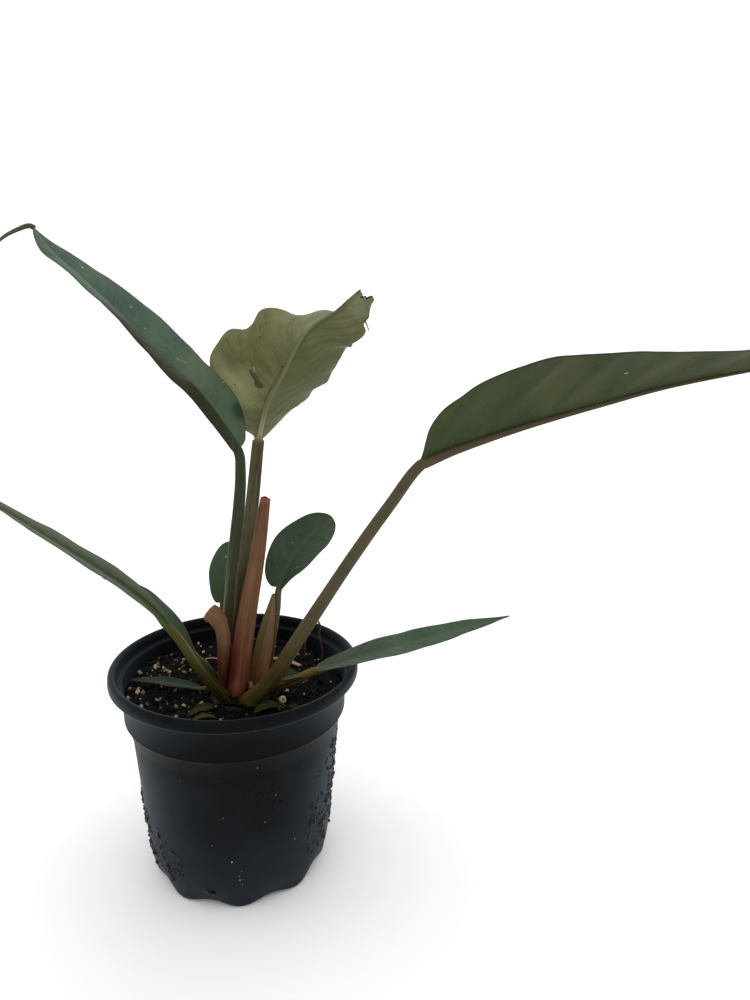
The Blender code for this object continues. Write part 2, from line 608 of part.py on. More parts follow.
def main():
    clear_scene()
    make_pot()
    make_soil()
    make_crown()
    for name, leaf in BLADES.items():
        petiole = PETIOLES[name]
        stalk(f"{name}_petiole", **petiole, after=leaf["midrib"][1])
        blade(f"{name}_blade", dict(leaf, before=petiole["route"][-2]))
    stalk("spear", finish="sheath_red", route=[(3.2, -13.5, CROWN_SEAT), (7, -12.5, 160), (12, -10, 192),
          (18, -8, 225), (23.2, -5, 261)], width=(13.5, 5.4), depth=(8, 2.6), wing=(0.05, 0.3),
          face=((0, 1, 0), (0, 1, 0)), taper=1.8)
    ribbon("curled_sheath", "sheath_tan",
           route=[(-7, -14, CROWN_SEAT + 0.3), (-5.2, -15.6, 145), (-3.9, -17, 157), (-3.2, -17.8, 168),
                  (-4.6, -18.4, 178.5), (-7.6, -19.4, 185.3), (-10.9, -19.2, 188.2), (-12.8, -17.2, 188.6),
                  (-13.1, -14.8, 186.9), (-11.4, -13.9, 184.8), (-9.9, -15, 183.6)],
           sides=((-1, 0, 0), (-0.555, -0.54, -0.632)), turned=0.7, half_widths=(3.4, 6), bends=(85, 12),
           thickness=0.9, rows=26)
    ribbon("oval_right_sheath", "sheath_olive",
           route=[(12.8, -8.1, CROWN_SEAT + 1.2), (15, -7.4, 141), (17.2, -6.4, 153), (20.4, -4.8, 170),
                  (23.4, -2.8, 184), (25.6, -1, 193)],
           sides=((0.9, 0.45, 0), (0.9, 0.4, 0)), half_widths=(4.6, 1.2), bends=(70, 40), thickness=0.9, rows=16)
    thread("dry_tail", "dry_brown", [(-102.5, -19.5, 419.3), (-106.2, -19.8, 419.8), (-111.5, -20.2, 417.8),
           (-117.3, -21.2, 414.8), (-123, -22.2, 410.5)], 0.8)
    make_litter()
    make_scrap_and_lump()
    thread("tiny_leaf_stalk", "petiole_green", [(29, -17, soil_height(29, -17) + 1.1), (30, -22, 130.2),
           (33, -26.5, 130), (36.6, -27.2, soil_height(37, -27) + 1.1)], 0.6)
    thread("surface_root", "dry_brown", [(55, 43, soil_height(55, 43) + 0.5), (55.6, 42.5, 134),
           (54.3, 42.5, 141), (53, 43, 147), (54, 43, 152), (52.5, 42.5, 157), (49, 42.5, 157),
           (45.5, 42.5, 151), (43, 43.5, 140), (42, 45, soil_height(42, 45) + 0.5)], 0.7)


main()
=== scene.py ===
import bisect
import math
import random

import bmesh
import bpy
from mathutils import Euler, Matrix, Vector, geometry, noise


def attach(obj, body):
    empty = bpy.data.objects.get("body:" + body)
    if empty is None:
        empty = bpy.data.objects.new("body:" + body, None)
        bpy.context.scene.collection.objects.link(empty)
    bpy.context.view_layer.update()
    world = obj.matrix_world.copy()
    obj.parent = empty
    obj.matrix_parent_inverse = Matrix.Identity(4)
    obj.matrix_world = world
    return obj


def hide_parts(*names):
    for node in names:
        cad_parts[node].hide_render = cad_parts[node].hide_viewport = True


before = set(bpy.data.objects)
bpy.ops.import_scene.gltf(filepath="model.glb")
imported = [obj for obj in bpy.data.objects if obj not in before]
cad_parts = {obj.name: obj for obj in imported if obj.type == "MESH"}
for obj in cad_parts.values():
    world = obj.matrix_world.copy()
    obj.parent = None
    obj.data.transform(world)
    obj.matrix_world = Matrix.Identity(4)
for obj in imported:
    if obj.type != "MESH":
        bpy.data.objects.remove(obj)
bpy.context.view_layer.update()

mm = 0.001
up = Vector((0, 0, 1))
finishes = {}
leafThickness = 0.5
print("stage: frame loaded")


# Shader sockets and materials

class Wire:
    # A socket that Python's arithmetic carries on with Math nodes.
    def __init__(self, finish, socket):
        self.finish = finish
        self.socket = socket

    def maths(self, operation, *others):
        return self.finish.node("ShaderNodeMath", {"operation": operation}, dict(enumerate((self, *others))))

    def __add__(self, other):
        return self.maths("ADD", other)

    def __sub__(self, other):
        return self.maths("SUBTRACT", other)

    def __mul__(self, other):
        return self.maths("MULTIPLY", other)

    def __pow__(self, other):
        return self.maths("POWER", other)

    def __rsub__(self, other):
        return self.finish.node("ShaderNodeMath", {"operation": "SUBTRACT"}, {0: other, 1: self})

    __radd__ = __add__
    __rmul__ = __mul__

    def spread(self, low, high, start=0.0, end=1.0):
        # Smoothly from start to end while this value goes from low to high.
        limits = {"Value": self, "From Min": low, "From Max": high, "To Min": start, "To Max": end}
        return self.finish.node("ShaderNodeMapRange", {"interpolation_type": "SMOOTHSTEP"}, limits)

    def lines(self, width):
        # 1 on each whole number of this value, falling to 0 at the given distance from it.
        return ((self + 0.5).maths("FRACT") - 0.5).maths("ABSOLUTE").spread(0, width, 1, 0)


class Finish:
    # A material with its Principled shader. Every colour is linear red, green and blue, in thousandths.
    def __init__(self, name, **sockets):
        self.material = bpy.data.materials.new(name)
        self.material.use_nodes = True
        self.tree = self.material.node_tree
        self.shader = self.tree.nodes["Principled BSDF"]
        self.set(**sockets)
        finishes[name] = self.material

    def node(self, kind, settings=None, values=None, out=0):
        made = self.tree.nodes.new(kind)
        for key, value in (settings or {}).items():
            setattr(made, key, value)
        for key, value in (values or {}).items():
            self.feed(made.inputs[key], value)
        return Wire(self, made.outputs[out])

    def feed(self, socket, value):
        if isinstance(value, Wire):
            self.tree.links.new(value.socket, socket)
        elif socket.type == "RGBA":
            socket.default_value = (*(part / 1000 for part in value), 1)
        else:
            socket.default_value = value

    def set(self, **sockets):
        # baseColor goes to the shader's Base Color socket, and so on.
        for key, value in sockets.items():
            words = "".join(" " + letter if letter.isupper() else letter for letter in key)
            self.feed(self.shader.inputs[words.title().replace("Ior", "IOR")], value)

    def attribute(self, name):
        return self.node("ShaderNodeAttribute", {"attribute_name": name}, out=2)

    def noise(self, size, detail=3.0, roughness=0.5, stretch=None):
        # Noise on the piece's own coordinates, with features about size millimetres across.
        place = self.node("ShaderNodeTexCoord", out=3)
        if stretch:
            place = self.node("ShaderNodeMapping", {}, {"Vector": place, "Scale": stretch})
        return self.node("ShaderNodeTexNoise", {}, {"Vector": place, "Scale": 1000 / size, "Detail": detail,
                                                   "Roughness": roughness})

    def patterned(self, x, y, detail):
        # Noise on two values, with features about one unit across.
        place = self.node("ShaderNodeCombineXYZ", {}, {"X": x, "Y": y})
        return self.node("ShaderNodeTexNoise", {}, {"Vector": place, "Scale": 1.0, "Detail": detail})

    def near(self, centre, reach):
        # 1 at a place in mm on the object, falling to 0 at a reach from it.
        here = self.node("ShaderNodeTexCoord", out=3)
        place = [mm * value for value in centre]
        distance = self.node("ShaderNodeVectorMath", {"operation": "DISTANCE"}, {0: here, 1: place}, 1)
        return distance.spread(0, mm * reach, 1, 0)

    def paint(self, colour, layers):
        # A colour under layers, each with its share and its own colour.
        for share, tint in layers:
            mixer = self.tree.nodes.new("ShaderNodeMix")
            mixer.data_type = "RGBA"
            self.feed(mixer.inputs[0], share)
            self.feed(mixer.inputs[6], colour)
            self.feed(mixer.inputs[7], tint)
            colour = Wire(self, mixer.outputs[2])
        return colour

    def bump(self, height, depth):
        # Relief of the given depth in millimetres.
        self.set(normal=self.node("ShaderNodeBump", {}, {"Height": height, "Distance": depth * mm}))


# What a blade's look has where its own dictionary says nothing else.
plainLeaf = dict(gloss=0.15, roughness=0.45, cloud=26, wander=0.25, stripScale=1.7, strips=0.4, mottle=0.3,
                 baseTint=0, base=(0, 0, 0), streaks=0.25, veinWidth=0.06, veins=0.3, veinDepth=-0.1,
                 ribGlow=0.3, edge=0.6, pillow=0.2, patchSize=8, patch=None, valleyShades=None, ribShade=None,
                 shadeShare=0.9, shadeColour=None, stainsAndSheen=())


def leafFinish(name, look):
    # One side of a blade: clouded green, strips between the lateral veins, streaks along them, a worn margin.
    look = {**plainLeaf, **look}
    finish = Finish(name, specularIorLevel=look["gloss"])
    measured = ("veinAt", "fromRib", "toEdge", "along", "shade")
    veinAt, fromRib, toEdge, along, shade = map(finish.attribute, measured)
    cloud = finish.noise(look["cloud"], 4)
    mottle = finish.noise(4, 4, 0.65)
    wandered = veinAt + (finish.noise(14, 2) - 0.5) * look["wander"]
    strip = finish.patterned(wandered * look["stripScale"], fromRib * 0.03, 1)
    streak = finish.patterned(wandered * 9, fromRib * 0.06, 2)
    veins = wandered.lines(look["veinWidth"]) * toEdge.spread(0.5, 5)
    layers = [(cloud.spread(0.3, 0.7), look["pale"]),
              (strip.spread(0.38, 0.62) * look["strips"], look["deep"])]
    # Darker in the valleys between the pleats: painted shade.
    if look["valleyShades"]:
        share, every = look["valleyShades"]
        valleyShade = ((wandered * (math.tau / every)).maths("COSINE") * 0.5 + 0.5) ** 6 * toEdge.spread(0, 6)
        layers.append((valleyShade * fromRib.spread(2, 9) * share, look["deep"]))
    if look["patch"]:
        patch = finish.noise(look["patchSize"], 5, 0.7)
        layers.append((patch.spread(0.52, 0.62) * 0.55, look["patch"]))
    layers += [(mottle.spread(0.4, 0.75) * look["mottle"], look["speck"]),
               (along.spread(0.0, 0.45, 1, 0) * look["baseTint"], look["base"]),
               (streak.spread(0.45, 0.7) * look["streaks"], look["vein"]),
               (veins * look["veins"], look["vein"]),
               (fromRib.spread(0.5, 3, 1, 0) * look["ribGlow"], look["vein"])]
    # A darker band beside the rib: painted shadow.
    if look["ribShade"]:
        layers.append((fromRib.spread(1.2, 3.4, 1, 0) * 0.6, look["ribShade"]))
    # The shade value darkens a band of one half: painted shade.
    layers += [(toEdge.spread(0, 1.0, 1, 0) * look["edge"], look["margin"]),
               (shade.spread(0, 1) * look["shadeShare"], look["shadeColour"] or look["deep"])]
    # Stains, and pale patches that are painted sheen highlights.
    for centre, reach, share, tint in look["stainsAndSheen"]:
        stainAndSheen = finish.near(centre, reach) + (mottle - 0.5) * 0.7
        layers.append((stainAndSheen.spread(0.1, 0.9) * share, tint))
    rough = look["roughness"] + (cloud - 0.5) * 0.12 + (mottle - 0.5) * 0.1 + (streak - 0.5) * 0.08
    finish.set(baseColor=finish.paint(look["deep"], layers), roughness=rough)
    pillow = (veinAt * math.tau).maths("COSINE") * -0.5
    relief = pillow * look["pillow"] + streak * 0.12 + veins * look["veinDepth"]
    finish.bump(relief + mottle * 0.1, 0.8)


# What a stalk's or sheath's look has where its own dictionary says nothing else.
plainStalk = dict(gloss=0.12, roughness=0.45, rise=(0.0, 1.0), speck=(90, 80, 50), streaks=9, lines=40,
                  lineShare=0.3, depth=0.35, ribFrom=None, ribTo=None, ribLength=0.7, wing=None,
                  wingRise=(0, 0.9, 1, 0.3), flush=None, tip=None)


def stalkFinish(name, look):
    # A petiole or sheath: long streaks and lines, a colour that changes up its length, and specks.
    look = {**plainStalk, **look}
    finish = Finish(name, specularIorLevel=look["gloss"])
    along = finish.attribute("along")
    around = finish.attribute("around")
    streak = finish.patterned(around * look["streaks"], along * 2.5, 3)
    line = finish.patterned(around * look["lines"], along * 4, 2)
    speck = finish.noise(1.6, 2)
    cloud = finish.noise(12, 3)
    layers = [(along.spread(*look["rise"]), look["top"]),
              (streak.spread(0.42, 0.68) * 0.6, look["streak"]),
              (line.spread(0.45, 0.7) * look["lineShare"], look["dark"]),
              (cloud.spread(0.45, 0.75) * 0.3, look["dark"]),
              (speck.spread(0.68, 0.8) * 0.5, look["speck"])]
    if look["ribTo"]:
        layers += [(along.spread(0.98, 1.06) * 0.9, look["ribFrom"]),
                   (along.spread(1.05, 1 + look["ribLength"]), look["ribTo"])]
    if look["wing"]:
        edge = finish.attribute("wing")
        layers.append((edge.spread(0.15, 0.7) * along.spread(*look["wingRise"]), look["wing"]))
    if look["flush"]:
        side = around.spread(0.72, 0.86) * around.spread(0.9, 1.0, 1, 0.3)
        layers += [(side * along.spread(0.08, 0.4, 1, 0), look["flush"]),
                   (along.spread(0.01, 0.09, 0.8, 0), look["flush"]),
                   (along.spread(0.965, 0.985), look["tip"])]
    finish.set(baseColor=finish.paint(look["foot"], layers),
               roughness=look["roughness"] + (cloud - 0.5) * 0.15)
    finish.bump(line * 0.5 + streak * 0.5, look["depth"])


# Shapes

def mix(a, b, share):
    return a + (b - a) * share


def through(pairs, share):
    # The height at share of a smooth curve through pairs of a share and a height.
    i = min(len(pairs) - 2, max(0, bisect.bisect_right(pairs, (share, 1e9)) - 1))
    (x0, y0), (x1, y1) = pairs[i], pairs[i + 1]
    before = pairs[max(0, i - 1)]
    after = pairs[min(len(pairs) - 1, i + 2)]
    leaving = (y1 - before[1]) / (x1 - before[0]) * (x1 - x0)
    arriving = (after[1] - y0) / (after[0] - x0) * (x1 - x0)
    t = (share - x0) / (x1 - x0)
    a = 2 * (y0 - y1) + leaving + arriving
    b = 3 * (y1 - y0) - 2 * leaving - arriving
    return ((a * t + b) * t + leaving) * t + y0


def alongRoute(points, shares, before=None, after=None):
    # Points and ways ahead at shares of the length of the smooth curve through a route's points.
    points = [Vector(point) for point in points]
    before = Vector(before) if before else 2 * points[0] - points[1]
    after = Vector(after) if after else 2 * points[-1] - points[-2]
    ends = [before] + points + [after]
    fine = []
    for i in range(1, len(ends) - 2):
        leaving = ends[i] + (ends[i + 1] - ends[i - 1]) / 6
        arriving = ends[i + 1] - (ends[i + 2] - ends[i]) / 6
        piece = geometry.interpolate_bezier(ends[i], leaving, arriving, ends[i + 1], 80)
        fine += piece if i == 1 else piece[1:]
    lengths = [0.0]
    for a, b in zip(fine, fine[1:]):
        lengths.append(lengths[-1] + (b - a).length)

    def at(share):
        wanted = min(1.0, max(0.0, share)) * lengths[-1]
        step = min(len(fine) - 2, max(0, bisect.bisect_right(lengths, wanted) - 1))
        return fine[step].lerp(fine[step + 1], (wanted - lengths[step]) / (lengths[step + 1] - lengths[step]))

    found = [at(share) for share in shares]
    ways = [(at(share + 0.006) - at(share - 0.006)).normalized() for share in shares]
    return found, ways, lengths[-1]


def squareTo(ahead, upper):
    return (upper - upper.dot(ahead) * ahead).normalized()


def framesAlong(ways, face):
    frames = []
    for i, ahead in enumerate(ways):
        upper = Vector(face[0]).normalized().lerp(Vector(face[1]).normalized(), i / (len(ways) - 1))
        upper = squareTo(ahead, upper)
        frames.append((ahead, ahead.cross(upper), upper))
    return frames


def sheetPoint(point, side, upper, across, width, fold, bend):
    # A point across a sheet whose halves leave its middle at the fold's angle and bend on from there.
    hand = math.copysign(1, across)
    bend = bend if abs(bend) > 1e-4 else 1e-4
    end = fold + bend * abs(across)
    outward = (math.sin(end) - math.sin(fold)) / bend
    raised = (math.cos(fold) - math.cos(end)) / bend
    normal = upper * math.cos(end) - side * hand * math.sin(end)
    return point + width * (outward * hand * side + raised * upper), normal


def linkMesh(name, mesh, materials=()):
    # A smooth object in the scene from a bmesh, which is used up.
    data = bpy.data.meshes.new(name)
    mesh.to_mesh(data)
    mesh.free()
    for item in materials:
        data.materials.append(finishes[item])
    data.shade_smooth()
    piece = bpy.data.objects.new(name, data)
    bpy.context.scene.collection.objects.link(piece)
    return piece


def addPiece(name, mesh, materials, nodes=(), slot=None):
    # A finished piece that rides on the part, from a bmesh in millimetres.
    bmesh.ops.scale(mesh, vec=(mm, mm, mm), verts=mesh.verts)
    piece = linkMesh(name, mesh, materials)
    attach(piece, "root")
    if nodes:
        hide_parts(*nodes)
    return piece


def wrapTube(stations, sides, place):
    # A closed tube: place(station, angle) gives each point of its skin and that point's values.
    mesh = bmesh.new()
    bmesh.ops.create_grid(mesh, x_segments=stations, y_segments=sides, size=1)
    layers = {key: mesh.verts.layers.float.new(key) for key in place(0, 0)[1]}
    for vert in mesh.verts:
        station = round((vert.co.x + 1) / 2 * stations)
        angle = (vert.co.y + 1) * math.pi
        vert.co, values = place(station, angle)
        for key, value in values.items():
            vert[layers[key]] = value
    bmesh.ops.remove_doubles(mesh, verts=mesh.verts, dist=0.0005)
    bmesh.ops.holes_fill(mesh, edges=mesh.edges, sides=0)
    bmesh.ops.recalc_face_normals(mesh, faces=mesh.faces)
    return mesh


def makeSheet(name, rows, columns, place, thickness, ahead, materials, nodes, slot):
    # A thin closed sheet. place(row, across) gives its upper side's point and values.
    mesh = bmesh.new()
    bmesh.ops.create_grid(mesh, x_segments=rows, y_segments=columns, size=1)
    layers = {key: mesh.verts.layers.float.new(key) for key in place(0, 0)[1]}
    thick = {}
    firstEdge = set()
    for vert in mesh.verts:
        row = round((vert.co.x + 1) / 2 * rows)
        across = math.copysign(abs(vert.co.y) ** 1.2, vert.co.y)
        vert.co, values = place(row, across)
        for key, value in values.items():
            vert[layers[key]] = value
        thick[vert.index] = thickness(row, across)
        if row == 0:
            firstEdge.add(vert.index)
    bmesh.ops.recalc_face_normals(mesh, faces=mesh.faces)
    mesh.normal_update()
    middle = rows // 2
    along = place(middle + 1, 0)[0] - place(middle, 0)[0]
    side = place(middle, 0.5)[0] - place(middle, -0.5)[0]
    centre = min(mesh.verts, key=lambda vert: (vert.co - place(middle, 0)[0]).length)
    down = -1 if centre.normal.dot(along.cross(side)) < 0 else 1
    underside = {}
    for vert in mesh.verts:
        way = down * vert.normal
        if vert.index in firstEdge:
            way = squareTo(ahead, way)
        underside[vert.co.copy().freeze()] = vert.co + way * thick[vert.index]
    upperFaces = set(mesh.faces)
    for item in bmesh.ops.extrude_face_region(mesh, geom=mesh.faces[:])["geom"]:
        if isinstance(item, bmesh.types.BMVert):
            item.co = underside[item.co.copy().freeze()]
        elif isinstance(item, bmesh.types.BMFace):
            upperFaces.discard(item)
    for face in mesh.faces:
        face.material_index = 0 if face in upperFaces else 1
    bmesh.ops.recalc_face_normals(mesh, faces=mesh.faces)
    addPiece(name, mesh, materials, nodes, slot)


def rowShares(rows):
    return [mix(i / rows, (1 - math.cos(math.pi * i / rows)) / 2, 0.5) for i in range(rows + 1)]


# Leaves: each petiole's and blade's route and form follow the solid's, in millimetres

petioles = {
    "upper_left": dict(
        route=[(-6, -3, 130.3), (-5.7, -4.5, 156), (-3.8, -5.5, 174.5), (-1.5, -7.8, 193), (1.1, -11, 211),
               (4.2, -14, 230), (9.7, -22, 263.3), (11.6, -26, 282.8), (10.8, -28, 295)], width=(12, 6.2),
        depth=(8, 5), wing=(0.25, 0.3), face=((-1, 0, 0), (0.3, -0.5, 0.4))),
    "top": dict(
        route=[(4.6, 0.8, 130.3), (3.2, 1.8, 159.5), (4.4, 5, 188), (6.9, 9.5, 217.5), (11.5, 15, 254),
               (15.5, 20, 293)], width=(12.5, 8), depth=(9, 6), wing=(0.25, 0.3),
        face=((0, 1, 0), (-0.3, 0.9, 0.3)), rib=(0.4, 0.015)),
    "right": dict(
        route=[(13, -25, 130.3), (28, -30.5, 148), (48, -44, 184), (78, -60, 237), (101, -72, 275),
               (116.5, -80, 298.6)], width=(16.5, 7.8), depth=(14, 6.2), wing=(0, 0.3), taper=0.35,
        face=((-0.6, 0.2, 0.5), (-0.5, 0.3, 0.8)), rib=(0.6, 0.08)),
    "low_left": dict(
        route=[(-2.5, -24.5, 130.3), (-12, -31, 148), (-19, -36, 163), (-26, -40, 178.5), (-32, -44, 190)],
        width=(11.4, 7.2), depth=(8, 5.6), wing=(0.2, 1.2), face=((0.7, 0.1, 0.5), (0.5, 0.4, 0.7))),
    "slim_left": dict(
        route=[(-11.5, -3, 130.3), (-19, -1, 142), (-28, 0, 151)], width=(6, 3.6), depth=(5, 3),
        wing=(0.2, 0.5), face=((0.6, 0, 0.7), (0.6, 0, 0.7))),
    "soil_left": dict(
        route=[(-13.4, -11.5, 132.3), (-17, -12, 132), (-21, -11.5, 131)], width=(4, 3.2), depth=(3.4, 2.6),
        wing=(0.1, 0.5), face=((0, 0, 1), (0, 0, 1))),
    "low_right": dict(
        route=[(19, -15, 133), (30, -15, 136), (43, -14.5, 140.5), (54, -14, 146)], width=(8.4, 5.6),
        depth=(8, 5.6), wing=(0.2, 1.2), face=((-0.3, 0, 0.9), (-0.3, 0, 0.9))),
    "oval_right": dict(
        route=[(19, -3.5, 130.3), (22.6, -2.6, 148), (25.6, -0.8, 166), (28.2, 1.8, 183), (29.5, 4, 196.5)],
        width=(7.4, 4.4), depth=(7, 4.2), wing=(0.2, 0.5), face=((-0.8, -0.6, 0), (-0.5, -0.8, 0.2))),
    "oval_back": dict(
        route=[(-3, 4, 130.3), (-6, 10, 148), (-11, 20, 165), (-14, 28, 176)], width=(5, 3.2),
        depth=(4.4, 2.6), wing=(0.3, 0.5), face=((0.3, -0.9, 0), (0.2, -0.9, 0.2))),
}

blades = {
    "upper_left": dict(
        midrib=[(10.8, -28, 295), (1.8, -28.5, 312.8), (-11.3, -28.5, 330.3), (-23.2, -28, 340.8),
                (-44.6, -26.5, 360.5), (-67.5, -24.5, 382.5), (-92.5, -22, 407), (-102, -19.6, 418.5)],
        face=((0.64, -0.5, 0.58), (0.7, -0.14, 0.7)), halfWidth=26.5, widest=0.42, blunt=0.56, drawn=0.62,
        foot=3, fold=((45, 40), (7, 7)), curl=(-45, -6), waves=5.5,
        turns=((0, 0.57, 0.2, 9), (0, 0.91, 0.07, -12)), shaded=(0, 0, 0.4, -1, 0.66),
        edges=(None, [(0, 3), (0.04, 9.5), (0.09, 17), (0.15, 21.5), (0.23, 22.8), (0.32, 24), (0.42, 27.5),
              (0.53, 29), (0.63, 28), (0.72, 24.7), (0.81, 19.6), (0.89, 13.3), (0.95, 6.3), (1, 0.5)]),
        phase=(0.3, 1.4), lobe=6, grid=(150, 48), veinGap=13, veinLean=(0.45, 0.45), pleat=0.08),
    "top": dict(
        midrib=[(15.5, 20, 293), (21, 6, 310.5), (27.3, -6.3, 325), (35.6, -17.5, 337), (43.3, -27, 350),
                (50.5, -35.5, 361.5), (59, -42.5, 369.5), (69.3, -48, 375.5), (76, -52, 381),
                (82, -55.5, 386)], face=((-0.41, 0.59, 0.69), (0.37, 0.81, -0.45)), torn=3, foot=3.3,
        fold=((7, 55), (8, 100)), late=1.6, curl=(36, 36), scallop=0, wave=(1, 1.5),
        edges=([(0, 3.3), (0.03, 12), (0.07, 25), (0.13, 36), (0.2, 39), (0.28, 43.5), (0.36, 40),
                (0.45, 38), (0.54, 34), (0.63, 34.5), (0.71, 30.5), (0.79, 27.5), (0.85, 26.5),
                (0.88, 23.5), (0.895, 18.6), (0.925, 17.2), (1, 13)], [(0, 2.6), (0.02, 4), (0.04, 9),
                (0.07, 20), (0.13, 32), (0.2, 39), (0.25, 43.5), (0.28, 46), (0.32, 46.3), (0.36, 47.4),
                (0.39, 42.6), (0.42, 43), (0.46, 45.6), (0.5, 49), (0.54, 46), (0.59, 35), (0.65, 30),
                (0.7, 30), (0.78, 28), (0.86, 25.6), (0.93, 18.8), (1, 10)]),
        shaded=(0, 0, 0.12, 0.12, 0.72), waves=5, phase=(0.5, 1.0), lobe=1.5, grid=(170, 64), veinGap=12,
        veinLean=(1.5, -0.1), veinCurve=0.1, pleat=0.6),
    "right": dict(
        midrib=[(116.5, -80, 298.8), (135.4, -76, 307), (173, -73, 320), (211.8, -73.5, 332),
                (242.8, -77, 341.5), (280, -84, 350.4), (322.4, -94, 360)], before=(100, -83, 290),
        face=((-0.22, 0.81, 0.54), (-0.17, 0.4, 0.9)), halfWidth=43, widest=0.43, blunt=0.48, drawn=1.1,
        foot=3.2, fold=((42, 42), (6, 6)), curl=(-2, -2), scallop=0, wave=(0.8, 0.5), waves=4.5,
        edges=(None, [(0, 3.4), (0.02, 9.5), (0.04, 19.5), (0.065, 26.5), (0.09, 30.5), (0.13, 34.6),
              (0.16, 37.9), (0.2, 40.5), (0.27, 43.6), (0.32, 45.2), (0.36, 44.6), (0.4, 42), (0.45, 39.6),
              (0.54, 36.1), (0.63, 27.5), (0.71, 23.4), (0.79, 20.6), (0.86, 17.3), (0.92, 11.7), (0.97, 5),
              (1, 0.5)]), phase=(0.8, 2.2), lobe=1.5, grid=(170, 56), veinGap=16, veinLean=(0.75, 0.75),
        pleat=1.1, every=2.2),
    "low_left": dict(
        midrib=[(-32, -44, 190), (-38, -44.5, 199.5), (-48.6, -46, 211.5), (-66, -48, 226),
                (-95, -51.6, 247.5), (-120, -56, 266), (-148.6, -61, 283)],
        face=((0.34, 0.84, 0.42), (0.35, 0.67, 0.65)), halfWidth=16, widest=0.4, blunt=0.59, drawn=0.79,
        foot=3.2, fold=((1, 1), (18, 18)), curl=(-18, -18), scallop=0.1, waves=4, lobe=2, grid=(120, 30),
        veinGap=9, veinLean=(0.9, 0.9), pleat=0.2),
    "slim_left": dict(
        midrib=[(-28, 0, 151), (-38.6, 6, 165), (-53, 12, 178), (-66, 18, 186), (-81, 23, 191),
                (-96, 28, 193)], face=((0.5, -0.5, 0.7), (0.2, -0.4, 1)), halfWidth=4.6, widest=0.5,
        blunt=0.7, drawn=0.9, foot=1.6, fold=((25, 20), (25, 20)), curl=(5, 5), wave=(0.5, 0.5), waves=3,
        lobe=1, grid=(90, 20), veinGap=7),
    "soil_left": dict(
        midrib=[(-21, -11.5, 131), (-34, -9, 132.2), (-48, -6.5, 132.8), (-60, -4.5, 132.8),
                (-70.5, -3.5, 132.4)], face=((0, -0.2, 1), (0, -0.2, 1)), halfWidth=4.2, widest=0.45,
        blunt=0.6, drawn=0.8, foot=1.4, fold=((12, 12), (12, 12)), curl=(5, 5), waves=2, lobe=0.6,
        grid=(70, 18), veinGap=6),
    "low_right": dict(
        midrib=[(54, -14, 146), (77.4, -7, 151.4), (98, -3, 156.4), (120, 1, 161), (146, 7.5, 166.5),
                (166, 11, 171), (185, 14, 175.3)], face=((-0.22, 0.08, 0.97), (-0.09, -0.49, 0.87)),
        halfWidth=12.5, widest=0.41, blunt=0.52, drawn=1.05, foot=2, fold=((9, 9), (11, 11)), curl=(-2, -2),
        scallop=0.1, waves=4, lobe=1.8, grid=(120, 28), veinGap=8, veinLean=(0.9, 0.9)),
    "oval_right": dict(
        midrib=[(29.5, 4, 196.8), (34.3, 9.5, 209), (42.5, 15, 221.5), (52.5, 19, 232), (64, 22, 240.5)],
        face=((-0.34, -0.78, 0.52), (0.3, -0.95, 0.06)), halfWidth=17.5, widest=0.54, blunt=0.42,
        drawn=0.46, foot=1.6, fold=((17, 17), (32, 32)), curl=(18, 18), scallop=0.3, wave=(0.5, 0.5),
        waves=2, lobe=1, grid=(90, 36), veinGap=8, veinLean=(0.6, 0.6), pleat=0.3),
    "oval_back": dict(
        midrib=[(-14, 28, 176), (-12.2, 32, 190), (-9.7, 36, 204), (-6, 39, 217.5)],
        face=((0.1, -0.95, 0.25), (0.1, -0.95, 0.25)), halfWidth=12, widest=0.5, blunt=0.5, drawn=0.45,
        foot=1.4, fold=((12, 6), (12, 6)), curl=(-5, -5), wave=(0.4, 0.4), waves=2, lobe=2, grid=(70, 28),
        veinGap=7, veinLean=(0.6, 0.6), pleat=0.3),
}
# A petiole that says nothing else tapers evenly, and its midrib under the blade has this width and fall. A
# blade that says nothing else is whole, unshaded and gently waved.
plainPetiole = dict(taper=0.8, rib=(0.5, 0.07))
plainBlade = dict(torn=0, late=1, phase=(0, 1), scallop=0.2, wave=(0.3, 0.3), pleat=0.1, veinRise=0.12,
                  before=None, edges=(None, None), turns=(), shaded=(2, 0, 1, 0, 1), veinLean=(1, 1),
                  veinCurve=0.25, every=1)


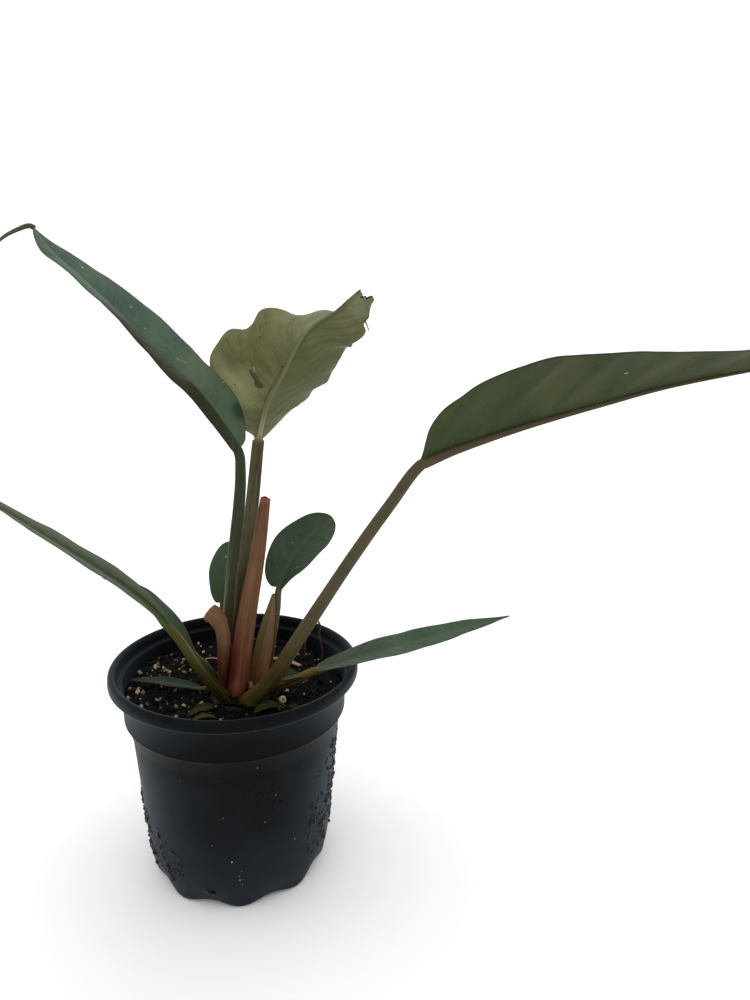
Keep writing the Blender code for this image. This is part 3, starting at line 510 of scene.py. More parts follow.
class Blade:
    # A blade's surface: place(row, across) gives a point of it and the values that its finish reads.
    def __init__(self, leaf):
        leaf = {**plainBlade, **leaf}
        self.leaf = leaf
        self.rows = leaf["grid"][0]
        self.shares = rowShares(self.rows)
        self.points, self.ways, self.length = alongRoute(leaf["midrib"], self.shares, leaf["before"])
        self.frames = framesAlong(self.ways, leaf["face"])

    def halfWidth(self, share, hand):
        leaf = self.leaf
        if leaf["edges"][hand]:
            return through(leaf["edges"][hand], share)
        outline = (share / leaf["widest"]) ** leaf["blunt"]
        outline *= ((1 - share) / (1 - leaf["widest"])) ** leaf["drawn"]
        return math.hypot(leaf["halfWidth"] * outline, mix(leaf["foot"], 0.5, share))

    def ripple(self, share, hand, turn):
        swell = max(0.0, math.sin(math.pi * share)) ** 0.5
        return swell * math.sin(math.tau * self.leaf["waves"] * share + self.leaf["phase"][hand] + turn)

    def veinAt(self, share, across, width):
        lean = self.leaf["veinLean"][across > 0] + self.leaf["veinCurve"] * abs(across)
        start = share * self.length - abs(across) * width * lean
        return start / self.leaf["veinGap"] + (0.45 if across < 0 else 0)

    def place(self, row, across):
        leaf = self.leaf
        share = self.shares[row]
        hand = 0 if across < 0 else 1
        ahead, side, upper = self.frames[row]
        fold = mix(leaf["fold"][hand][0], leaf["fold"][hand][1], share ** leaf["late"])
        for turnedHand, middle, reach, turn in leaf["turns"]:
            fold += turn * math.exp(-((share - middle) / reach) ** 2) * (turnedHand == hand)
        fold = math.radians(fold)
        plain = self.halfWidth(share, hand)
        width = plain + leaf["scallop"] * across ** 2 * self.ripple(share, hand, math.pi / 2)
        bend = math.radians(leaf["curl"][hand])
        point, normal = sheetPoint(self.points[row], side, upper, across, width, fold, bend)
        wave = leaf["wave"][hand] * across ** 2 * self.ripple(share, hand, 0)
        beyond = plain * abs(across) / leaf["foot"] - 1.3
        back = leaf["lobe"] * min(1.0, max(0.0, beyond / 2)) * math.exp(-share / 0.09)
        nearTip = max(0.0, share - 0.9) * 10
        ragged = leaf["torn"] * nearTip * math.sin(9 * across + 1.2) * (across ** 2 + 0.3)
        if leaf["torn"]:
            ragged += leaf["torn"] * nearTip ** 2 * 0.8 * noise.noise(Vector((across * 9, 3.1, 0)))
        veinAt = self.veinAt(share, across, width)
        bulge = 0.5 - 0.5 * math.cos(math.tau * veinAt / leaf["every"])
        fade = math.sin(math.pi * min(1.0, abs(across) * 0.92 + 0.06)) * min(1.0, 6 * share, 5 * (1 - share))
        lift = wave + leaf["pleat"] * bulge * fade
        lift += 0.25 * noise.noise(self.points[row] / 9 + Vector((across * 3, 0, 0))) * abs(across)
        lift -= 0.5 * math.exp(-(across * plain / 1.6) ** 2) * (1 - share)
        # The shade value rises over a band of one half, which the finish darkens: painted shade.
        shadedHand, start, end, first, last = leaf["shaded"]
        shade = min(1.0, max(0.0, (abs(across) - start) / (end - start))) * (hand == shadedHand)
        shade *= min(1.0, max(0.0, (share - first) / 0.15)) * min(1.0, max(0.0, (last - share) / 0.15))
        values = {"along": share, "fromRib": abs(across) * plain, "toEdge": (1 - abs(across)) * plain,
                  "veinAt": veinAt, "shade": shade}
        return point + lift * normal + (ragged - back) * ahead + 0.3 * self.ways[0], values

    def thickness(self, row, across):
        share = self.shares[row]
        width = self.halfWidth(share, 0 if across < 0 else 1)
        toVein = abs(((self.veinAt(share, across, width) + 0.5) % 1) - 0.5) * self.leaf["veinGap"]
        vein = self.leaf["veinRise"] * math.exp(-(toVein / 0.9) ** 2) * (1 - abs(across))
        ridge = 0.9 * math.exp(-(across * width / 1.1) ** 2) * (1 - share)
        return leafThickness * (1 - 0.45 * across ** 4) + vein + ridge


def stationsAlong(route, count, face, after=None):
    # Even stations along a route: their shares of its length, their points and their frames.
    shares = [i / count for i in range(count + 1)]
    points, ways, length = alongRoute(route, shares, after=after)
    return shares, points, framesAlong(ways, face)


def makeBlade(node, blade, upperFinish, underFinish, slot):
    makeSheet(node, blade.rows, blade.leaf["grid"][1], blade.place, blade.thickness, blade.ways[0],
              (upperFinish, underFinish), (node,), slot)


def makeStalk(name, finish, stalk, slot, blade):
    # A petiole, grooved on its upper side, that runs on under most of the blade as its midrib.
    stalk = {**plainPetiole, **stalk}
    stations = 64
    sides = 40
    ribEnd = 0.9
    shares, points, frames = stationsAlong(stalk["route"], stations, stalk["face"], blade.leaf["midrib"][1])
    wingSize, wingReach = stalk["wing"]
    ribWidth, ribFall = stalk["rib"]
    spots = []
    for share, point, around in zip(shares, points, frames):
        width = mix(stalk["width"][0], stalk["width"][1], share ** stalk["taper"])
        depth = mix(stalk["depth"][0], stalk["depth"][1], share ** stalk["taper"])
        fade = max(0.0, 1 - share / wingReach) ** 0.7
        spots.append((point, around, width / 2, depth / 2, fade, share))
    for row in range(2, blade.rows, 3):
        share = blade.shares[row]
        if share > ribEnd:
            break
        ahead, side, upper = blade.frames[row]
        turned = squareTo(ahead, frames[-1][2].lerp(upper, min(1.0, share / 0.08)))
        thin = (1 - share / ribEnd) ** 0.7
        fall = math.exp(-share / ribFall)
        halfWide = mix(0.32, stalk["width"][1] / 2 * mix(ribWidth, 1, fall), thin)
        halfDeep = mix(0.3, stalk["depth"][1] / 2 * mix(ribWidth, 1, fall), thin)
        sunk = blade.points[row] - turned * (halfDeep * 0.75 * (1 - fall) + 0.25)
        spots.append((sunk, (ahead, ahead.cross(turned), turned), halfWide, halfDeep, 0, 1 + share))

    def place(station, angle):
        point, (ahead, side, upper), halfWidth, halfDepth, fade, along = spots[station]
        groove = (0.12 + 0.35 * fade * (wingSize > 0)) * math.exp(-((angle - math.pi / 2) / 0.45) ** 2)
        groove *= max(0.0, 1 - max(0.0, along - 1) / 0.1)
        wings = sum(math.exp(-((angle - math.pi / 2 + turn) / 0.3) ** 2) for turn in (-0.85, 0.85))
        lumps = 0.03 * noise.noise(Vector((3 * math.cos(angle), 3 * math.sin(angle), along * 9)))
        reach = 1 - groove + wingSize * fade * wings + lumps
        offset = reach * (halfWidth * math.cos(angle) * side + halfDepth * math.sin(angle) * upper)
        if station == 0 and ahead.z > 0.5:
            offset -= ahead * offset.z / ahead.z
        return point + offset, {"along": along, "around": angle / math.tau, "wing": wings * fade}

    addPiece(name, wrapTube(len(spots) - 1, sides, place), (finish,), (name,), slot)


leafLooks = {
    # The shade colour darkens the near half from its base: painted shade.
    "blueGreenUpper": dict(
        deep=(34, 64, 46), pale=(64, 99, 68), speck=(82, 115, 76), vein=(90, 128, 82), margin=(60, 50, 28),
        base=(78, 105, 52), baseTint=0.45, veins=0.10, strips=0.35, streaks=0.12, mottle=0.5, pillow=0.1,
        shadeColour=(18, 21, 8), cloud=30, gloss=0.04, patch=(26, 58, 44), patchSize=9,
        stainsAndSheen=(((10.2, -13.4, 316.4), 13, 0.85, (12, 36, 20)), ((-14, -14, 341), 28, 0.6, (95, 125, 70)),
                 ((2, -14, 325), 12, 0.5, (90, 120, 65)))),
    "blueGreenUnder": dict(
        deep=(50, 62, 34), pale=(70, 80, 45), speck=(80, 90, 50), vein=(100, 100, 60), margin=(45, 35, 20),
        roughness=0.5, veinDepth=0.2),
    "oliveUpper": dict(
        deep=(32, 56, 28), pale=(48, 75, 36), speck=(60, 85, 42), vein=(80, 105, 55), margin=(50, 40, 22),
        roughness=0.42, veinDepth=-0.2, gloss=0.1, stainsAndSheen=(((84, -44, 376), 22, 0.95, (65, 70, 28)),)),
    # The shade colour darkens one half, the rib shade lines the rib and the valleys darken the pleats:
    # painted shade. The first stain, pale and near the base, is a painted highlight.
    "oliveUnder": dict(
        deep=(86, 92, 34), pale=(165, 166, 82), speck=(185, 182, 95), vein=(230, 225, 135),
        margin=(170, 135, 80), base=(170, 162, 80), baseTint=0.25, roughness=0.4, veinDepth=0.25, veins=0.5,
        veinWidth=0.025, streaks=0.16, strips=0.5, pillow=0.3, ribGlow=0, shadeColour=(100, 106, 46),
        shadeShare=0.7, valleyShades=(0.75, 1.0), wander=0.12, gloss=0.025, ribShade=(70, 72, 28),
        stainsAndSheen=(((8, -1, 331), 26, 0.6, (280, 270, 145)), ((4, -3, 346), 14, 0.5, (115, 95, 48)),
                 ((22, -4, 352), 20, 0.35, (105, 112, 40)), ((46, -30, 354), 16, 0.6, (80, 95, 48)),
                 ((64, -44, 368), 14, 0.55, (80, 95, 48)), ((86, -48, 380), 18, 0.6, (220, 225, 140)))),
    # The valleys darken the pleats: painted shade.
    "greenUnder": dict(
        deep=(18, 32, 7), pale=(47, 55, 17), speck=(52, 62, 22), vein=(66, 74, 28), margin=(35, 26, 14),
        base=(24, 44, 12), baseTint=0.6, veinDepth=0.1, veins=0.06, streaks=0.25, strips=0.4, pillow=0.2,
        stripScale=0.6, ribGlow=0.1, edge=0.8, valleyShades=(0.75, 2.2)),
    "strapUpper": dict(
        deep=(26, 54, 28), pale=(46, 82, 46), speck=(56, 95, 56), vein=(72, 108, 64), margin=(60, 52, 26),
        base=(12, 26, 9), baseTint=0.9, roughness=0.48, veins=0.08, streaks=0.12, patch=(30, 58, 30),
        patchSize=6),
    "strapUnder": dict(
        deep=(42, 62, 30), pale=(60, 82, 44), speck=(75, 95, 55), vein=(90, 110, 65), margin=(60, 50, 30),
        roughness=0.5, veinDepth=0.15),
    "ovalUpper": dict(
        deep=(28, 50, 28), pale=(52, 80, 50), speck=(60, 88, 52), vein=(80, 105, 60), margin=(36, 40, 22),
        base=(22, 40, 18), baseTint=0.6, roughness=0.42, veinDepth=-0.15, veins=0.12, streaks=0.15),
    # A lighter copy of ovalUpper for the leaf at the back: painted light.
    "ovalBackLitUpper": dict(
        deep=(42, 72, 38), pale=(62, 98, 55), speck=(70, 105, 60), vein=(90, 120, 70), margin=(40, 45, 24),
        base=(35, 50, 22), baseTint=0.4, veinDepth=-0.15, veins=0.12, streaks=0.15),
    "ovalUnder": dict(
        deep=(40, 52, 26), pale=(55, 68, 36), speck=(65, 80, 42), vein=(80, 100, 55), margin=(50, 40, 22),
        roughness=0.5, veinDepth=0.15),
    # A darker look for the leaf that lies on the mix under the others: painted shade.
    "shadedUpper": dict(
        deep=(18, 29, 18), pale=(30, 44, 30), speck=(35, 50, 34), vein=(45, 60, 40), margin=(30, 30, 16),
        gloss=0.04),
    "youngLeaf": dict(
        deep=(11, 15, 3), pale=(28, 31, 8), speck=(34, 42, 16), vein=(36, 44, 18), margin=(50, 38, 12),
        roughness=0.5, cloud=8, gloss=0.015),
    "yellowLeaf": dict(
        deep=(26, 22, 5), pale=(55, 43, 12), speck=(80, 62, 20), vein=(80, 65, 22), margin=(40, 24, 8),
        roughness=0.55, cloud=8, gloss=0.015),
}

stalkLooks = {
    "oliveStalk": dict(
        foot=(48, 34, 3), top=(74, 63, 38), rise=(0.05, 0.6), streak=(82, 62, 34), dark=(28, 22, 6),
        ribFrom=(64, 50, 28), ribTo=(58, 48, 28), wing=(50, 34, 10), gloss=0.05),
    "greenStalk": dict(
        foot=(64, 38, 15), top=(98, 92, 50), rise=(0.1, 0.8), streak=(66, 50, 26), dark=(30, 28, 10),
        speck=(120, 110, 70), roughness=0.42, lines=13, lineShare=0.75, ribFrom=(300, 275, 180),
        ribTo=(145, 148, 76), wing=(100, 50, 26), ribLength=0.25, gloss=0.06),
    "darkStalk": dict(
        foot=(34, 30, 10), top=(28, 36, 16), rise=(0.1, 0.8), streak=(42, 42, 20), dark=(14, 17, 6),
        speck=(60, 60, 40), ribFrom=(30, 38, 18), ribTo=(40, 50, 30), wing=(45, 30, 12)),
    "strapStalk": dict(
        foot=(14, 9, 1), top=(62, 60, 14), rise=(0.05, 0.85), streak=(60, 46, 10), dark=(22, 20, 4),
        ribFrom=(50, 65, 30), ribTo=(75, 98, 58), wing=(200, 130, 90), gloss=0.07,
        wingRise=(0.35, 0.8, 0, 1)),
    "shortStalk": dict(
        foot=(30, 20, 3), top=(105, 78, 20), rise=(0.1, 0.9), streak=(90, 65, 18), dark=(45, 36, 8),
        gloss=0.05, ribFrom=(60, 75, 35), ribTo=(75, 98, 58), wing=(200, 120, 80),
        wingRise=(0.5, 1.0, 0, 1)),
    "sheathStalk": dict(
        foot=(60, 36, 10), top=(66, 72, 30), rise=(0.5, 1.0), streak=(100, 55, 25), dark=(35, 22, 6),
        speck=(120, 80, 50), ribFrom=(50, 65, 35), ribTo=(70, 90, 55), wing=(140, 75, 45)),
    "redSheath": dict(
        foot=(105, 28, 12), top=(130, 64, 28), rise=(0.0, 0.6), streak=(190, 88, 52), dark=(58, 24, 8),
        speck=(50, 20, 10), roughness=0.55, lines=42, streaks=11, depth=0.6, lineShare=0.42,
        flush=(70, 8, 5), tip=(210, 65, 55)),
    "tanSheath": dict(
        foot=(45, 7, 2), top=(165, 95, 42), rise=(0.12, 0.66), streak=(150, 65, 38), dark=(70, 24, 10),
        speck=(130, 70, 30), roughness=0.6, lines=24, lineShare=0.5, wing=(55, 12, 7),
        wingRise=(0.1, 0.6, 0.9, 0.15), depth=0.6),
    "oliveFlap": dict(
        foot=(105, 52, 12), top=(135, 98, 35), rise=(0.0, 0.8), streak=(150, 88, 33), dark=(60, 32, 8),
        speck=(120, 80, 40), roughness=0.55, lines=26),
    "pinkFlap": dict(
        foot=(135, 58, 22), top=(180, 105, 60), rise=(0.0, 0.9), streak=(200, 110, 65), dark=(80, 40, 15),
        speck=(160, 100, 60), roughness=0.6, lines=26),
    "paleSheath": dict(
        foot=(260, 150, 100), top=(330, 210, 150), streak=(380, 270, 190), dark=(160, 80, 45),
        speck=(200, 120, 70), roughness=0.65, lines=14),
    "dryBrown": dict(
        foot=(50, 26, 14), top=(100, 55, 32), streak=(130, 80, 50), dark=(30, 17, 10), speck=(150, 100, 60),
        roughness=0.7, lines=14),
    "oliveTail": dict(
        foot=(60, 50, 28), top=(100, 85, 55), streak=(80, 60, 35), dark=(30, 25, 12), speck=(120, 100, 70),
        roughness=0.6, lines=14),
    "crownSkin": dict(
        foot=(5, 4, 2), top=(7, 5, 2), streak=(14, 9, 4), dark=(3, 2, 1), speck=(30, 20, 10), roughness=0.6,
        lines=20),
}

for name, look in leafLooks.items():
    leafFinish(name, look)
for name, look in stalkLooks.items():
    stalkFinish(name, look)
print("stage: finishes made")

dressed = {
    "upper_left": ("blueGreenUpper", "blueGreenUnder", "darkStalk", "blue_green", "petiole_olive"),
    "top": ("oliveUpper", "oliveUnder", "greenStalk", "under_olive", "petiole_green"),
    "right": ("oliveUpper", "greenUnder", "oliveStalk", "under_green", "petiole_olive"),
    "low_left": ("strapUpper", "strapUnder", "strapStalk", "strap_green", "petiole_green"),
    "slim_left": ("strapUpper", "strapUnder", "strapStalk", "strap_green", "petiole_green"),
    "soil_left": ("shadedUpper", "ovalUnder", "strapStalk", "strap_green", "petiole_green"),
    "low_right": ("strapUpper", "strapUnder", "shortStalk", "strap_green", "petiole_green"),
    "oval_right": ("ovalUpper", "ovalUnder", "sheathStalk", "oval_green", "sheath_olive"),
    "oval_back": ("ovalBackLitUpper", "ovalUnder", "strapStalk", "oval_green", "petiole_green"),
}
made = {}
for name, (upperFinish, underFinish, stalkFinishName, bladeSlot, stalkSlot) in dressed.items():
    made[name] = Blade({"before": petioles[name]["route"][-2], **blades[name]})
    makeBlade(f"{name}_blade", made[name], upperFinish, underFinish, bladeSlot)
    makeStalk(f"{name}_petiole", stalkFinishName, petioles[name], stalkSlot, made[name])
print("stage: leaves made")


# The spear, the dry sheaths and the threads

def makeSpear():
    spear = dict(route=[(3.2, -13.5, 130.3), (7, -12.5, 160), (12, -10, 192), (18, -8, 225), (23.2, -5, 261)],
                 width=(13.5, 6.4), depth=(8, 3), taper=1.8, overlap=0.5, flutes=0.1, swell=6)
    stations = 110
    sides = 64
    shares, points, frames = stationsAlong(spear["route"], stations, ((0, 1, 0), (0, 1, 0)))

    def place(station, angle):
        share = shares[station]
        ahead, side, upper = frames[station]
        halfWidth = mix(*spear["width"], share ** spear["taper"]) / 2
        halfDepth = mix(*spear["depth"], share ** spear["taper"]) / 2
        # An edge of the sheath laps over the other along the front, and its foot swells forwards.
        lap = spear["overlap"] * (1 / (1 + math.exp(4.5 - 18 * math.cos(angle))) - 0.5) * (angle > math.pi)
        offset = halfWidth * math.cos(angle) * side + (halfDepth * math.sin(angle) - lap) * upper
        offset += offset.normalized() * spear["flutes"] * math.sin(22 * math.cos(angle)) * (1 - share)
        offset -= upper * spear["swell"] * math.exp(-(share / 0.05) ** 2) * max(0.0, -math.sin(angle)) ** 1.5
        if station == 0:
            offset -= ahead * offset.z / ahead.z
        if station == stations:
            offset += ahead * 0.5 * math.sin(3 * math.cos(angle) + 1)
        return points[station] + offset, {"along": share, "around": angle / math.tau}

    addPiece("spear", wrapTube(stations, sides, place), ("redSheath",), ("spear",), "sheath_red")


def framesBeside(ways, sides, turned):
    # As framesAlong, but from the way that the strip's side points, which turns over a share of its length.
    frames = []
    for i, ahead in enumerate(ways):
        share = min(1.0, i / (len(ways) - 1) / turned)
        side = squareTo(ahead, Vector(sides[0]).normalized().lerp(Vector(sides[1]).normalized(), share))
        frames.append((ahead, side, side.cross(ahead)))
    return frames


def makeRibbon(name, finish, route, halfWidths, bends, thickness, grid, nodes, slot=None, torn=0.6, face=None,
               sides=None, turned=1, lumps=0.35, taper=1):
    # A dry sheath or straw: a strip along a route, bent across, with an uneven edge and a torn end.
    shares = rowShares(grid[0])
    points, ways, length = alongRoute(route, shares)
    frames = framesAlong(ways, face) if face else framesBeside(ways, sides, turned)

    def place(row, across):
        share = shares[row]
        ahead, side, upper = frames[row]
        width = mix(halfWidths[0], halfWidths[1], share ** taper)
        width *= 1 + 0.12 * noise.noise(Vector((share * 7, 3 if across > 0 else 8, 1)))
        bend = math.radians(mix(*bends, share))
        point, normal = sheetPoint(points[row], side, upper, across, width, 0, bend)
        point += lumps * noise.noise(point / 4) * normal
        point += torn * share ** 8 * noise.noise(Vector((across * 4, 5, 2))) * 4 * ahead
        return point, {"along": share, "around": across * 0.5 + 0.5, "wing": abs(across)}

    makeSheet(name, *grid, place, lambda row, across: thickness, ways[0], (finish, finish), nodes, slot)


def makeThread(name, finish, route, radii, nodes, slot=None, stations=90):
    # A thin root, tail or nub with a knotty skin.
    sides = 14
    knots = 0.12
    shares, points, frames = stationsAlong(route, stations, ((0.3, -0.8, 0.5), (0.3, -0.8, 0.5)))

    def place(station, angle):
        share = shares[station]
        ahead, side, upper = frames[station]
        radius = mix(radii[0], radii[1], share)
        radius *= 1 + knots * noise.noise(Vector((3 * math.cos(angle), 3 * math.sin(angle), share * 26)))
        offset = radius * (math.cos(angle) * side + math.sin(angle) * upper)
        return points[station] + offset, {"along": share, "around": angle / math.tau}

    addPiece(name, wrapTube(stations, sides, place), (finish,), nodes, slot)


makeSpear()
makeRibbon("curled_sheath", "tanSheath",
           [(-7, -14, 130.6), (-5.2, -15.6, 145), (-3.9, -17, 157), (-3.2, -17.8, 168), (-4.6, -18.4, 178.5),
            (-7.6, -19.4, 185.3), (-10.9, -19.2, 188.2), (-12.8, -17.2, 188.6), (-13.1, -14.8, 186.9),
            (-11.4, -13.9, 184.8), (-9.9, -15, 183.6)],
           (3.4, 6), (85, 12), 0.7, (160, 36), ("curled_sheath",), "sheath_tan", torn=0,
           sides=((-1, 0, 0), (-0.555, -0.54, -0.632)), turned=0.7, lumps=0.2)
makeRibbon("oval_right_sheath", "oliveFlap",
           [(11.6, -8.6, 131), (13.4, -7.7, 141.5), (15.5, -6.7, 153.4), (19.2, -5, 170.6), (23.1, -2.8, 184),
            (26.1, -0.6, 194.2)],
           (3.4, 0.3), (60, 40), 0.6, (90, 18), ("oval_right_sheath",), "sheath_olive", torn=0,
           sides=((0.9, 0.45, 0), (0.9, 0.4, 0)), lumps=0.15, taper=2)
makeRibbon("oval_right_pink_sheath", "pinkFlap",
           [(16.2, -7.6, 131), (18.6, -7, 141), (20.9, -5.9, 153), (23.8, -3.9, 170), (25.8, -1.9, 183.5),
            (26.7, -0.1, 194.5)],
           (4.2, 0.3), (70, 50), 0.6, (90, 18), (), torn=0, sides=((0.9, 0.3, 0), (0.9, 0.3, 0)), lumps=0.15,
           taper=2)
makeRibbon("dry_sheath_scrap", "paleSheath",
           [(19, 40, 129.6), (26, 36.5, 130.8), (34, 32, 130.8), (41, 28, 129.6)],
           (2.6, 2), (-60, -40), 0.6, (50, 14), ("dry_sheath_scrap",), "dry_pink",
           face=((0, 0, 1), (0.3, 0, 1)))
makeThread("dry_tail", "oliveTail",
           [(-102, -19.5, 418.9), (-104, -19.6, 419.9), (-106.2, -19.8, 419.8), (-111.5, -20.2, 417.8),
            (-117.3, -21.2, 414.8), (-123, -22.2, 410.5)], (1.5, 0.8), ("dry_tail",), "dry_brown")
makeThread("sheath_nub", "pinkFlap",
           [(13, -15.4, 130.8), (13, -16, 134.5), (12.4, -15.6, 138.6)], (2.4, 1.2), (), stations=24)
makeRibbon("straw", "paleSheath", [(-29, 34.5, 130.2), (-24, 35, 130.6), (-19, 35.6, 129.8)],
           (0.8, 0.5), (30, 30), 0.4, (30, 8), (), face=((0, 0, 1), (0, 0, 1)))
makeThread("torn_wisp", "dryBrown",
           [(86.6, -43.5, 374), (85, -42.2, 371.5), (86.4, -41.6, 369), (87.6, -41.4, 365.6)],
           (0.6, 0.25), (), stations=24)
print("stage: sheaths made")


# The mix: its top repeats the solid's

# In mm, with the number of dark crumbs all over the mix and of those round the crown.
mixSizes = dict(level=126.5, relief=2.2, lumps=24, crumbs=10.8, reach=72, inside=70.8, heap=4, heapAngle=2.4,
                grains=4200, crownGrains=160, batch=60)


def soilHeight(x, y):
    lumps = noise.noise(Vector((x, y, 0)) / mixSizes["lumps"])
    crumbs = noise.noise(Vector((x, y, 40)) / mixSizes["crumbs"])
    return mixSizes["level"] + mixSizes["relief"] * (lumps + 0.5 * crumbs)


def mixHeight(x, y):
    # The mix's loose top lies higher against the back and left of the wall.
    nearWall = max(0.0, math.hypot(x, y) / 71 - 0.6) / 0.4
    towards = 0.5 + 0.5 * math.cos(math.atan2(y, x) - mixSizes["heapAngle"])
    return soilHeight(x, y) + mixSizes["heap"] * nearWall ** 1.5 * towards


makeThread("surface_root", "dryBrown",
           [(55, 43, soilHeight(55, 43) + 0.5), (55.6, 42.5, 134), (54.3, 42.5, 141), (53, 43, 147),
            (54, 43, 152), (52.5, 42.5, 157), (49, 42.5, 157), (45.5, 42.5, 151), (43, 43.5, 140),
            (42, 45, soilHeight(42, 45) + 0.5)], (0.85, 0.6), ("surface_root",), "dry_brown")
makeThread("tiny_leaf_stalk", "strapStalk",
           [(29, -17, soilHeight(29, -17) + 1.1), (30, -22, 130.2), (33, -26.5, 130),
            (36.6, -27.2, soilHeight(37, -27) + 1.1)], (0.7, 0.6), ("tiny_leaf_stalk",), "petiole_green")

# Each small leaf's base, tip, half width, rise, finish and slot.
litter = {
    "small_leaf_front_left": ((-7, -31.5), (-22, -42), 4.2, 2.5, "youngLeaf", "young_green"),
    "small_leaf_yellow": ((-5, -43), (-19.5, -50), 2.4, 1, "yellowLeaf", "yellow_green"),
    "small_leaf_front_right": ((18, -36.5), (36, -30), 4.6, 2.5, "youngLeaf", "young_green"),
    "small_leaf_round": ((27, 15), (40, 20), 6.5, 2, "youngLeaf", "young_green"),
    "small_leaf_tiny": ((38, -26.5), (46, -28.5), 2.4, 1, "youngLeaf", "young_green"),
    "small_leaf_back_left": ((-10, 6), (-19, 16), 3, 2.5, "youngLeaf", "young_green"),
}
for name, (base, tip, halfWidth, lift, finish, slot) in litter.items():
    route = []
    for i in range(5):
        x, y = mix(base[0], tip[0], i / 4), mix(base[1], tip[1], i / 4)
        route.append((x, y, soilHeight(x, y) + 1.4 + lift * i / 4 * (4 - i)))
    small = Blade(dict(
        midrib=route, face=((0, 0, 1), (0, 0, 1)), halfWidth=halfWidth, widest=0.48, blunt=0.55, drawn=0.7,
        foot=0.8, fold=((14, 10), (14, 10)), curl=(-8, -8), wave=(0.2, 0.2), waves=2, lobe=0.5, grid=(40, 18),
        veinGap=3, veinLean=(0.6, 0.6)))
    makeBlade(name, small, finish, finish, slot)
print("stage: small leaves made")


# The pot

potSizes = dict(height=147, rim=82.5, band=75, bandLow=73.4, foot=58.8, wall=1.6, feet=9, turn=10,
                notchDepth=2.5, notchRise=2.8, notchFade=20, sides=216, drain=3.5, drainRing=46.5)
# The body's outer radius and its height, from the foot up to the lip.
potBody = [(60, 8), (61, 12), (61.8, 17), (62.5, 22), (63.5, 34), (64.6, 48), (65.65, 62), (67.2, 82),
           (68.8, 102), (69.5, 105), (70.4, 108), (71.2, 110.5), (72, 113), (72.6, 114.1), (73.2, 114.9),
           (73.6, 115.4), (73.65, 116), (73.5, 116.8), (74.2, 126), (75, 137.5)]


def notched(point):
    # The pot's skin is drawn in and raised where a notch cuts its base's corner.
    radius = math.hypot(point.x, point.y)
    if radius < 1e-6:
        return point
    angle = math.atan2(point.y, point.x)
    turned = angle + math.pi / 2 - math.radians(potSizes["turn"])
    lobe = (1 - math.cos(potSizes["feet"] * turned)) / 2
    nearBase = max(0.0, 1 - point.z / potSizes["notchFade"]) ** 1.5
    notch = lobe * nearBase * min(1.0, max(0.0, (radius - 44) / 10))
    reach = radius - potSizes["notchDepth"] * notch
    return Vector((reach * math.cos(angle), reach * math.sin(angle), point.z + potSizes["notchRise"] * notch))


def turnProfile(profile, sides):
    # A profile from axis to axis spun into a closed body.
    mesh = bmesh.new()
    verts = [mesh.verts.new((radius, 0, height)) for radius, height in profile]
    edges = [mesh.edges.new(pair) for pair in zip(verts, verts[1:])]
    bmesh.ops.spin(mesh, geom=verts + edges, axis=up, cent=(0, 0, 0), angle=math.tau, steps=sides,
                   use_merge=True)
    bmesh.ops.remove_doubles(mesh, verts=mesh.verts, dist=0.001)
    bmesh.ops.recalc_face_normals(mesh, faces=mesh.faces)
    return mesh


def innerWall(clearance):
    size = potSizes
    inset = size["wall"] + clearance
    return [(size["band"] - inset, size["height"] - 9), (size["bandLow"] - inset, 115.6), (72 - inset, 113),
            (70.4 - inset, 108), (68.8 - inset, 102), (65.65 - inset, 62), (62.5 - inset, 22),
            (60 - inset, 8), (size["foot"] - 1.6 - inset, inset + 1.2), (size["foot"] - 5 - inset, inset),
            (44, inset)]


def wallRadius(height):
    return through([(z, radius) for radius, z in potBody], max(8, height))


def makePot():
    size = potSizes
    top, rim, band, foot = size["height"], size["rim"], size["band"], size["foot"]
    outside = [(0, 0), (30, 0), (44, 0), (foot - 2.5, 0), (foot - 1.3, 0.25), (foot - 0.6, 0.8),
               (foot - 0.1, 1.6), (foot + 0.2, 2.6), (foot + 0.7, 5), *potBody]
    # The rolled rim from its outside over the top to the inner wall, in from the rim and down from the top.
    roll = [(3.5, 8.4), (1.4, 8), (0.6, 7.4), (0.1, 6.7), (0, 6), (0.1, 4), (0.3, 2), (0.8, 1.0), (1.6, 0.4),
            (2.3, 0.05), (3, 0), (3.9, 0.3), (4.6, 0.9), (5.2, 2), (5.6, 3.4), (5.8, 5.5), (5.9, 6.8),
            (6.4, 7.5)]
    outside += [(band + 0.4, top - 8.9), *[(rim - inward, top - down) for inward, down in roll],
                (band - 1.1, top - 8), (band - 1.5, top - 8.3)]
    mesh = turnProfile(outside + innerWall(0) + [(0, size["wall"])], size["sides"])
    for vert in mesh.verts:
        vert.co = notched(vert.co)
    pot = addPiece("pot_finer", mesh, ("blackPlastic",), ("pot",), "black_plastic")
    drills = bmesh.new()
    for i in range(size["feet"]):
        angle = math.radians(size["turn"]) - math.pi / 2 + math.tau * (i + 0.5) / size["feet"]
        place = size["drainRing"] * Vector((math.cos(angle), math.sin(angle), 0))
        bmesh.ops.create_cone(
            drills, cap_ends=True, segments=32, radius1=size["drain"], radius2=size["drain"],
            depth=10 * size["wall"], matrix=Matrix.Translation(place))
    bmesh.ops.scale(drills, vec=(mm, mm, mm), verts=drills.verts)
    cutter = linkMesh("drills", drills)
    drain = pot.modifiers.new("drains", "BOOLEAN")
    drain.operation = "DIFFERENCE"
    drain.object = cutter
    bpy.context.view_layer.update()
    cut = bpy.data.meshes.new_from_object(pot.evaluated_get(bpy.context.evaluated_depsgraph_get()))
    pot.modifiers.clear()
    pot.data = cut
    bpy.data.objects.remove(cutter)
    cut.shade_smooth()
    cut.set_sharp_from_angle(angle=math.radians(50))


